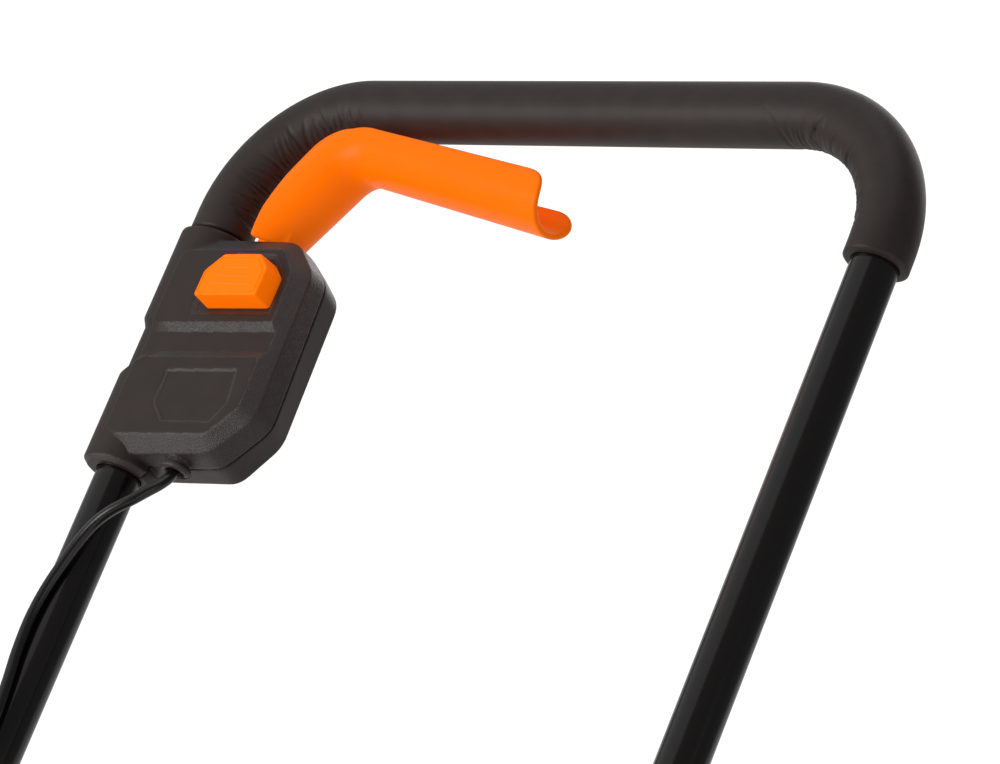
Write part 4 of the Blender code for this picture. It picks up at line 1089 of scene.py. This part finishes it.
def bag_ring(z, pull, inset=0.0):
    """The grass box's outline at a height. Its front stays upright and its rear slopes more."""
    reach = inset + pull
    return level(rounded(BAG_HALF - reach, BAG_FRONT + inset, BAG_REAR - reach * 1.5, BAG_CORNERS[0],
                         BAG_CORNERS[1] - inset), z)


def make_deck():
    """The cutting deck: a moulded shell with a lip, a side step and a raised bead on top."""
    outside = [(SKIRT_Z, -0.0015), (0.0560, -0.0015), (0.0580, 0.0000), (0.1020, 0.0000), (0.1040, 0.0016),
               (0.1270, 0.0016), (0.1500, 0.0055), (0.1640, 0.0150), (DECK_TOP, 0.0200), (DECK_TOP, 0.0500),
               (DECK_TOP + 0.0025, 0.0530), (DECK_TOP + 0.0025, 0.0620), (DECK_TOP, 0.0650),
               (DECK_TOP, 0.0800)]
    inside = [(SKIRT_Z, 0.0030), (0.1250, 0.0032), (0.1480, 0.0080), (DECK_TOP - SHEET, 0.0210)]
    rings = [deck_ring(z, pull) for z, pull in eased(inside[::-1], 0.003)]
    rings += [deck_ring(z, pull) for z, pull in eased(outside, 0.003)]
    shell = strip(rings)
    tunnel = block((-TUNNEL_HALF - SHEET, 0.100, 0.100),
                   (TUNNEL_HALF + SHEET, DECK_REAR, TUNNEL_TOP + SHEET), 0.004)
    passage = block((-TUNNEL_HALF, 0.05, 0.09), (TUNNEL_HALF, 0.3, TUNNEL_TOP))
    mouth = block((-TUNNEL_HALF, 0.060, 0.110), (TUNNEL_HALF, DECK_REAR + 0.02, TUNNEL_TOP))
    shaft = lathe([(0, 0.14), (0.0225, 0.14), (0.0225, 0.20), (0, 0.20)], (0, MOTOR_Y, 0))
    tunnel = combined(tunnel, [passage], "DIFFERENCE")
    shell = combined(shell, [mouth, shaft], "DIFFERENCE")
    piece("deck_body", merged([shell, tunnel]), "deck_orange", "root", ["deck_shell"],
          place=MACHINE)
    make_deck_details()


def make_deck_details():
    """Side rubbing strips, axle bosses, a front grab lip and the deck's screws."""
    strips, screws = [], []
    for side in (-1, 1):
        x = side * (DECK_HALF + 0.0004)
        near, far = sorted((x, x + side * 0.0022))
        strips.append(block((near, -0.175, 0.070), (far, 0.095, 0.088), 0.001))
        for y, z in (FRONT_AXLE, REAR_AXLE):
            boss = [(AXLE_R + 0.0003, -0.0004), (0.0150, -0.0004), (0.0150, 0.0020), (0.0130, 0.0030),
                    (AXLE_R + 0.0003, 0.0030)]
            strips.append(lathe(boss, (side * DECK_HALF, y, z), (side, 0, 0), 40))
        for y in (-0.215, -0.060, 0.085):
            screws.append(screw_head(Vector((side * 0.175, y, DECK_TOP)), (0, 0, 1), 0.0042, 0.0024))
    grab = [Vector((x, DECK_FRONT - 0.0040 + 0.00012 * (x * 100) ** 2, 0.1240))
            for x in np.linspace(-0.085, 0.085, 25)]
    strips.append(strip(sweep(grab, oval(0.010, 0.0055, 20))))
    piece("deck_trim", merged(strips), "plastic", "root", place=MACHINE)
    piece("deck_screws", merged(screws), "steel", "root", place=MACHINE)


def make_hood():
    """The motor hood with its battery bay, the cable's hole and the lid's hinge ears."""
    outside = [(DECK_TOP + GAP, 0, 0), (0.2350, 0.004, 0.010), (0.2850, 0.012, 0.030),
               (HOOD_TOP, 0.024, 0.045), (HOOD_TOP, 0.040, 0.045)]
    inside = [(DECK_TOP + GAP, 0, 0), (0.2340, 0.004, 0.010), (0.2840, 0.012, 0.030),
              (HOOD_TOP - SHEET, 0.024, 0.045)]
    rings = [hood_ring(*step, inset=SHEET) for step in eased(inside[::-1], 0.006)]
    rings += [hood_ring(*step) for step in eased(outside, 0.012, 6)]
    bay = upright_prism(rounded(0.062, 0.020, 0.084, 0.004, 0.004, 4), HOOD_TOP - 0.02, HOOD_TOP + 0.02)
    hole_r = CABLE_R + 0.0012
    hole = lathe([(0, -0.006), (hole_r, -0.006), (hole_r, 0.03), (0, 0.03)], CABLE_INLET, (1, 0, 0), 24)
    hood = combined(strip(rings), [bay, hole], "DIFFERENCE")
    knuckles = []
    for x in (-0.044, 0.044):
        ear = block((x - 0.0034, LID_HINGE[0] - 0.0042, HOOD_TOP - 0.001),
                    (x + 0.0034, LID_HINGE[0] + 0.0034, HOOD_TOP + 0.0093), 0.0014)
        knuckles.append(ear)
    piece("hood_body", merged([hood, *knuckles]), "plastic", "root", ["motor_hood"], place=MACHINE)
    make_hood_details()


def upright_prism(points, low, high):
    """A flat outline drawn up between two heights."""
    return strip([level(points, z) for z in (low, high)])


def make_hood_details():
    """Side louvres, front grille, the cable's inlet ring, an orange band and the hood's screws."""
    fins = []
    for side in (-1, 1):
        for i in range(9):
            y = -0.150 + 0.026 * i
            foot = Vector((side * 0.1335, y, 0.190))
            head = Vector((side * 0.1300, y + 0.012, 0.226))
            fins.append(bar(foot, head, oval(0.0030, 0.0052, 16)))
    for i in range(7):
        x = -0.048 + 0.016 * i
        foot, head = Vector((x, -0.2600, 0.182)), Vector((x, -0.2490, 0.226))
        fins.append(bar(foot, head, oval(0.0034, 0.0034, 16)))
    ring = [(CABLE_R + 0.0003, -0.004), (0.0052, -0.004), (0.0066, -0.0008), (0.0066, 0.0008),
            (0.0050, 0.0060), (CABLE_R + 0.0003, 0.0070)]
    fins.append(lathe(ring, CABLE_INLET, (-1, 0, 0), 32))
    piece("hood_louvres", merged(fins), "rubber", "root", place=MACHINE)
    band = level(rounded(0.1353, -0.2612, 0.1118, *HOOD_CORNERS), 0.1815)
    band.append(band[0])
    trim = strip(sweep(band, oval(0.0016, 0.0012, 10)))
    piece("hood_band", trim, "deck_orange", "root", place=MACHINE)
    screws = [screw_head(Vector((x, y, HOOD_TOP)), (0, 0, 1), 0.0036, 0.0018)
              for x, y in ((-0.085, -0.150), (0.085, -0.150), (-0.085, 0.060), (0.085, 0.060))]
    piece("hood_screws", merged(screws), "steel", "root", place=MACHINE)


def lid_field(x, y, z):
    """The battery lid: a ribbed plate with two hinge knuckles and a finger notch."""
    hinge_y, hinge_z = LID_HINGE
    corners = [(-0.068, 0.0142), (0.068, 0.0142), (0.068, 0.092), (-0.068, 0.092)]
    plate = polygon_distance(x, y, softened(corners, 0.010))
    body = smooth_max(plate, np.abs(z - HOOD_TOP - 0.0029) - 0.0026, 0.0018)
    notch = np.hypot(np.maximum(np.abs(x) - 0.014, 0), y - 0.0925) - 0.0050
    body = smooth_max(body, -notch, 0.0012)
    for across in np.linspace(-0.040, 0.040, 5):
        groove = np.maximum(np.abs(x - across) - 0.0009, HOOD_TOP + 0.0048 - z)
        groove = np.maximum(groove, np.abs(y - 0.053) - 0.026)
        body = smooth_max(body, -groove, 0.0005)
    for across in (-0.030, 0.030):
        reach = np.abs(x - across) - 0.0098
        knuckle = smooth_max(np.hypot(y - hinge_y, z - hinge_z) - 0.0041, reach, 0.0008)
        web = np.maximum(np.abs(y - hinge_y - 0.0045) - 0.0045, np.abs(z - HOOD_TOP - 0.0038) - 0.0015)
        body = smooth_min(body, smooth_min(knuckle, np.maximum(web, reach), 0.0008), 0.0008)
    return smooth_max(body, 0.0018 - np.hypot(y - hinge_y, z - hinge_z), 0.0003)


def make_lid():
    low, high = (-0.071, 0.001, HOOD_TOP - 0.002), (0.071, 0.095, HOOD_TOP + 0.013)
    mesh = field_mesh(lid_field, low, high, 0.0008, 0.5)
    piece("battery_cover_lid", mesh, "orange", "battery_cover", ["battery_lid"], place=MACHINE)


def flap_field(x, y, z):
    """The discharge flap: a sloped, ribbed plate on its hinge tube."""
    hinge_y, hinge_z = FLAP_HINGE
    slope = tan(radians(8))
    reach, rise = y - hinge_y, z - hinge_z
    middle = 0.0019 + slope * np.maximum(reach, 0)
    plate = smooth_max(np.abs(rise - middle) - 0.0013, np.abs(x) - 0.128, 0.0012)
    plate = smooth_max(plate, np.abs(reach - 0.047) - 0.038, 0.0012)
    for across in np.linspace(-0.096, 0.096, 7):
        rib = np.maximum(np.abs(x - across) - 0.0014, np.abs(rise - middle - 0.0018) - 0.0018)
        plate = smooth_min(plate, np.maximum(rib, np.abs(reach - 0.047) - 0.031), 0.0010)
    tube = np.maximum(np.hypot(reach, rise) - 0.0048, np.abs(x) - 0.105)
    web = np.maximum(np.abs(reach - 0.0055) - 0.0055, np.abs(rise - 0.0020) - 0.0014)
    body = smooth_min(plate, smooth_min(tube, np.maximum(web, np.abs(x) - 0.1045), 0.0010), 0.0010)
    return np.maximum(body, 0.0024 - np.hypot(reach, rise))


def make_flap():
    y, z = FLAP_HINGE
    low, high = (-0.131, y - 0.008, z - 0.008), (0.131, y + 0.089, z + 0.022)
    mesh = field_mesh(flap_field, low, high, 0.0010, 0.4)
    piece("discharge_flap_plate", mesh, "plastic", "discharge_flap", ["rear_flap"], place=MACHINE)


# ---------------------------------------------------------------- wheels

TYRE_DEPTH = 0.016
TYRE_SIDES = 240
TREADS = 30
LUG_DEPTH = 0.0024
LUG_GAP = 0.34                                    # the share of a tread's pitch that is cut away
LUG_SLANT = 0.45
MIDDLE_GROOVE = 0.0016                            # half the width of the groove round the tyre
HUB_SIDES = 120
SPOKES = 6
SPOKE_FROM = 0.024
WINDOW_DEPTH = 0.0050                             # how far the hub's face sinks between two spokes


def wheel_part(centre, side, profile, sides, relief):
    """A profile of (radius, height) turned round the axle; heights run outwards. relief(turn, radius,
    height) tells how far a point moves along both."""
    across, over, along = axes_of((side, 0, 0))
    rings = []
    for i in range(sides):
        turn = 2 * pi * i / sides
        out = across * cos(turn) + over * sin(turn)
        ring = []
        for r, h in profile:
            more_r, more_h = relief(turn, r, h)
            ring.append(centre + out * (r + more_r) + along * (h + more_h))
        rings.append(ring)
    return strip(rings, joined_ends=True)


def make_tyre(word, side, centre, radius):
    """A tyre with slanted lugs on both sides of a middle groove."""
    half, rim = WHEEL_WIDTH / 2, radius - TYRE_DEPTH
    section = eased([(rim + 0.0003, -half + 0.003), (rim + 0.003, -half), (radius - 0.006, -half),
                     (radius, -half + 0.007), (radius, half - 0.007), (radius - 0.006, half),
                     (rim + 0.003, half), (rim + 0.0003, half - 0.003)], 0.0025, 3)
    profile = []
    for low, high in zip(section, section[1:]):
        count = 6 if abs(high[1] - low[1]) > 0.006 and low[0] > radius - 0.002 else 1
        profile += [(low[0] + (high[0] - low[0]) * i / count, low[1] + (high[1] - low[1]) * i / count)
                    for i in range(count)]
    profile.append(section[-1])

    def lugs(turn, r, h):
        phase = (turn * TREADS / (2 * pi) + abs(h) / half * LUG_SLANT) % 1
        cut = 1 if phase < LUG_GAP or abs(h) < MIDDLE_GROOVE else 0
        share = min(1, max(0, (r - radius + 0.0045) / 0.004))
        return -LUG_DEPTH * cut * share, 0

    mesh = wheel_part(centre, side, profile, TYRE_SIDES, lugs)
    piece(f"tyre_{word}_tread", mesh, "rubber", f"wheel_{word}", [f"tyre_{word}"], place=MACHINE,
          crease=40)


def make_hub(word, side, centre, radius):
    """A hub whose outer face sinks between six spokes, and its cap."""
    half, rim = WHEEL_WIDTH / 2, radius - TYRE_DEPTH
    spoke_to = rim - 0.011
    face = [(rim - 0.0060, half - 0.0034)]
    face += [(r, half - 0.0034 - 0.0080 * (rim - 0.006 - r) / (rim - 0.022))
             for r in np.linspace(rim - 0.0075, 0.0175, 16)]
    profile = [(AXLE_R + GAP, -half + 0.001), (0.014, -half + 0.001), (0.014, -0.004),
               (rim - 0.006, -0.004), (rim - 0.006, -half + 0.003), (rim, -half + 0.003),
               (rim, half - 0.0034), (rim - 0.002, half - 0.0024), (rim - 0.0050, half - 0.0024),
               *face, (0.0165, 0.0072),
               (0.0160, half - 0.002), (0.0150, half - 0.001), (AXLE_R + GAP, half - 0.001)]

    def windows(turn, r, h):
        if h < 0.004 or not SPOKE_FROM < r < spoke_to:
            return 0, 0
        phase = abs((turn * SPOKES / (2 * pi)) % 1 - 0.5) * 2
        spoke = 0.42 * SPOKE_FROM / r + 0.12
        inside = min(1, max(0, (1 - phase - spoke) * 7))
        edge = min(1, (r - SPOKE_FROM) / 0.003, (spoke_to - r) / 0.003)
        return 0, -WINDOW_DEPTH * inside * max(0, edge)

    mesh = wheel_part(centre, side, profile, HUB_SIDES, windows)
    piece(f"hub_{word}_spokes", mesh, "plastic", f"wheel_{word}", [f"hub_{word}"], place=MACHINE)
    cap = [(0, half - 0.0032), (0.0128, half - 0.0032), (0.0128, half - 0.0006), (0.0120, half + 0.0006),
           (0.0090, half + 0.0014), (0, half + 0.0018)]
    piece(f"hub_{word}_cap", lathe(cap, centre, (side, 0, 0), 48), "orange", f"wheel_{word}",
          place=MACHINE)


def make_wheels():
    for word, (y, z) in (("front", FRONT_AXLE), ("rear", REAR_AXLE)):
        for hand, side in (("left", -1), ("right", 1)):
            centre = Vector((side * (WHEEL_IN + WHEEL_WIDTH / 2), y, z))
            make_tyre(f"{word}_{hand}", side, centre, z)
            make_hub(f"{word}_{hand}", side, centre, z)


# ---------------------------------------------------------------- lower handle

LOWER_INSET = 2 * TUBE_R + 0.0006
LOWER_TOP = -0.497
BRACKET_DROP = 0.930
CAM_R = 0.0095


def lower_x(side):
    """Where a lower tube's axis is across the handle: inside the leg, and touching it at the fold."""
    return side * (leg_x(1, -FOLD_DROP) - LOWER_INSET)


def tube_plug(place, direction):
    """The moulded plug in a tube's open end."""
    profile = [(0, -0.008), (0.0104, -0.008), (0.0104, 0.0003), (0.0125, 0.0003), (0.0125, 0.0020),
               (0.0115, 0.0034), (0.0085, 0.0042), (0, 0.0046)]
    return lathe(profile, place, direction, 40)


def make_lower_handle():
    """Both lower tubes with their plugs, fold levers and knobs."""
    plugs = []
    for side, word in ((-1, "left"), (1, "right")):
        x = lower_x(side)
        top, foot = Vector((x, LOWER_TOP, 0)), Vector((x, -BRACKET_DROP - 0.016, 0))
        tube = hollow_tube([top.lerp(foot, i / 12) for i in range(13)])
        piece(f"lower_tube_{word}", tube, "tube", "root", [f"lower_handle_{word}"])
        plugs.append(tube_plug(top, (0, 1, 0)))
        make_fold_cam(side, word)
        make_knob(side, word)
    piece("lower_tube_plugs", merged(plugs), "rubber", "root")
    tails = [tube_plug(Vector((leg_x(side, -FOLD_DROP - LEG_TAIL), -FOLD_DROP - LEG_TAIL, 0)), (0, -1, 0))
             for side in (-1, 1)]
    piece("upper_tube_plugs", merged(tails), "rubber", "upper_handle")


CAM_HANDLE = [(-0.0015, 0.0000), (0.0085, -0.0020), (0.0100, -0.0300), (0.0085, -0.0700), (0.0040, -0.0780),
              (0.0000, -0.0700), (-0.0020, -0.0300)]


def make_fold_cam(side, word):
    """The quick-release lever on a fold bolt's head."""
    head_x = leg_x(side, -FOLD_DROP) + side * (TUBE_R + CAM_R + 0.0006)

    def cam(x, y, z):
        across, up = (x - head_x) * side, y + FOLD_DROP
        disc = np.hypot(across, up) - CAM_R
        lever = polygon_distance(across, up, CAM_HANDLE)
        body = smooth_min(disc, lever, 0.004)
        body = smooth_max(body, np.abs(z) - 0.0088, 0.0022)
        for drop in np.linspace(-0.040, -0.064, 5):
            groove = np.hypot(across - 0.0105, up - drop) - 0.0016
            body = smooth_max(body, -groove, 0.0006)
        slot = np.maximum(np.abs(z) - 0.0045, -0.0058 - up)
        body = smooth_max(body, -np.maximum(slot, np.abs(across) - 0.02), 0.0006)
        return np.maximum(body, 0.0038 - np.hypot(across, up))

    left, right = sorted((head_x - side * 0.0125, head_x + side * 0.0125))
    low, high = (left, -FOLD_DROP - 0.081, -0.0105), (right, -FOLD_DROP + 0.012, 0.0105)
    mesh = field_mesh(cam, low, high, 0.0006, 0.5)
    piece(f"fold_lever_{word}", mesh, "orange", f"cam_{word}", [f"fold_cam_{word}"])


def make_knob(side, word):
    """A lobed hand knob on the lower tube's foot bolt."""
    start = lower_x(side) + side * (TUBE_R + GAP)
    rings = []
    profile = eased([(0.0060, 0.0), (0.0128, 0.0), (0.0136, 0.0040), (0.0132, 0.0140), (0.0090, 0.0152),
                     (0.0010, 0.0152)], 0.002)
    for radius, depth in profile:
        ring = []
        for i in range(96):
            turn = 2 * pi * i / 96
            lobe = 1 + 0.10 * cos(6 * turn) * min(1, radius / 0.012) ** 4
            ring.append(Vector((start + side * depth, -BRACKET_DROP + radius * lobe * cos(turn),
                                radius * lobe * sin(turn))))
        rings.append(ring)
    grip = strip(rings)
    inner = lower_x(side) - side * (TUBE_R + GAP)
    stud = lathe([(0, 0), (0.004, 0), (0.004, 0.045), (0, 0.045)], (inner - side * 0.012, -BRACKET_DROP, 0),
                 (side, 0, 0), 24)
    nut = lathe([(0.0041, 0), (0.0078, 0), (0.0078, 0.006), (0.0041, 0.006)],
                (inner - side * 0.0105, -BRACKET_DROP, 0), (side, 0, 0), 6)
    piece(f"foot_knob_{word}", grip, "rubber", "root", [f"bracket_knob_{word}"])
    piece(f"foot_bolt_{word}", merged([stud, nut]), "steel", "root")


# ---------------------------------------------------------------- grass box

def make_tub():
    """The grass box's tub: an open shell with a snout that meets the deck's tunnel, and ribs outside."""
    outside = [(BAG_FLOOR, 0.030), (BAG_FLOOR + 0.030, 0.008), (BAG_SPLIT - 0.0120, 0.0003),
               (BAG_SPLIT - 0.0110, -0.0014), (BAG_SPLIT, -0.0014)]
    inside = [(BAG_FLOOR + SHEET, 0.030), (BAG_FLOOR + 0.031, 0.008), (BAG_SPLIT, 0)]
    rings = [bag_ring(z, pull) for z, pull in eased(outside, 0.010)]
    rings += [bag_ring(z, pull, SHEET) for z, pull in eased(inside, 0.010)[::-1]]
    tub = strip(rings)
    half = TUNNEL_HALF + 0.006
    snout = block((-half, SNOUT_FRONT, 0.1370), (half, BAG_FRONT + 0.0025, TUNNEL_TOP + 0.0035), 0.0012)
    tub = combined(tub, [snout], "UNION")
    mouth = block((-half + SHEET, SNOUT_FRONT - 0.02, 0.1400), (half - SHEET, BAG_FRONT + 0.02, TUNNEL_TOP))
    tub = combined(tub, [mouth], "DIFFERENCE")
    ribs = [tub]
    for side in (-1, 1):
        for i in range(8):
            y = 0.320 + 0.030 * i
            low, high = Vector((side * 0.1545, y, 0.166)), Vector((side * 0.1624, y, 0.306))
            ribs.append(bar(low, high, oval(0.0030, 0.0038, 14)))
    for i in range(7):
        x = -0.090 + 0.030 * i
        low, high = Vector((x, 0.5870, 0.166)), Vector((x, 0.5990, 0.306))
        ribs.append(bar(low, high, oval(0.0030, 0.0030, 14)))
    piece("grass_tub", merged(ribs), "plastic", "grass_box", ["grass_box_tub"], place=MACHINE)


def make_bag_lid():
    """Its lid with the indicator's window, a carrying handle and four beads."""
    base = BAG_SPLIT + GAP
    outside = [(base, -0.0014), (base + 0.0090, -0.0014), (base + 0.0100, 0.0010), (base + 0.040, 0.008),
               (BAG_TOP - 0.012, 0.030), (BAG_TOP, 0.060), (BAG_TOP, 0.080)]
    inside = [(base, 0), (base + 0.039, 0.008), (BAG_TOP - 0.014, 0.030), (BAG_TOP - SHEET, 0.060)]
    rings = [bag_ring(z, pull, SHEET) for z, pull in eased(inside[::-1], 0.012)]
    rings += [bag_ring(z, pull) for z, pull in eased(outside, 0.012)]
    window = block((-0.030, 0.480, BAG_TOP - 0.02), (0.030, 0.512, BAG_TOP + 0.02))
    lid = combined(strip(rings), [window], "DIFFERENCE")
    half_arch = [(0.0480, BAG_TOP + 0.0345), (0.0580, BAG_TOP + 0.0270), (0.0640, BAG_TOP - 0.004)]
    arch = eased([*[(-x, z) for x, z in half_arch[::-1]], *half_arch], 0.012, 8)
    grip = sweep_flat([Vector((x, 0.400, z)) for x, z in arch], 0.0120, 0.0052)
    beads = []
    for x in (-0.085, -0.055, 0.055, 0.085):
        line = [Vector((x, y, BAG_TOP - 0.0002)) for y in np.linspace(0.330, 0.500, 6)]
        beads.append(strip(sweep(line, oval(0.0032, 0.0016, 14))))
    piece("grass_lid", merged([lid, grip, *beads]), "plastic", "grass_box", ["grass_box_lid"],
          place=MACHINE)


def sweep_flat(path, half_width, half_height):
    """A bar of rounded oblong section along a path in the XZ plane."""
    section = [(a * half_height, (abs(b) ** 0.6) * (1 if b > 0 else -1) * half_width)
               for a, b in circle(1, 24)]
    rings = []
    steps = [(q - p).normalized() for p, q in zip(path, path[1:])]
    for point, before, after in zip(path, [steps[0], *steps], [*steps, steps[-1]]):
        along = (before + after).normalized()
        across = Vector((-along.z, 0, along.x))
        rings.append([point + across * a + Vector((0, b, 0)) for a, b in section])
    return strip(rings)


# ---------------------------------------------------------------- build

make_camera()
make_lights()
make_world()
finish_cad_nodes()
make_switch_box()
make_button()
make_lever()
make_tube()
make_foam()
make_grommet()
make_cable()
make_deck()
make_hood()
make_lid()
make_flap()
make_wheels()
make_lower_handle()
make_tub()
make_bag_lid()

floor_mesh = lathe([(0, 0), (4.0, 0), (4.0, -0.01), (0, -0.01)], sides=96)
LOOKS["floor"] = material("floor", (0.38, 0.38, 0.378), 0.90, grains=((0.02, 0.0001),), mottle=0.01,
                          Specular_IOR_Level=0.1, Emission_Color=(1, 1, 1, 1), Emission_Strength=0.40)
floor = piece("floor", floor_mesh, "floor", None, place=Matrix.Identity(4))
bpy.context.scene.view_settings.view_transform = "Standard"
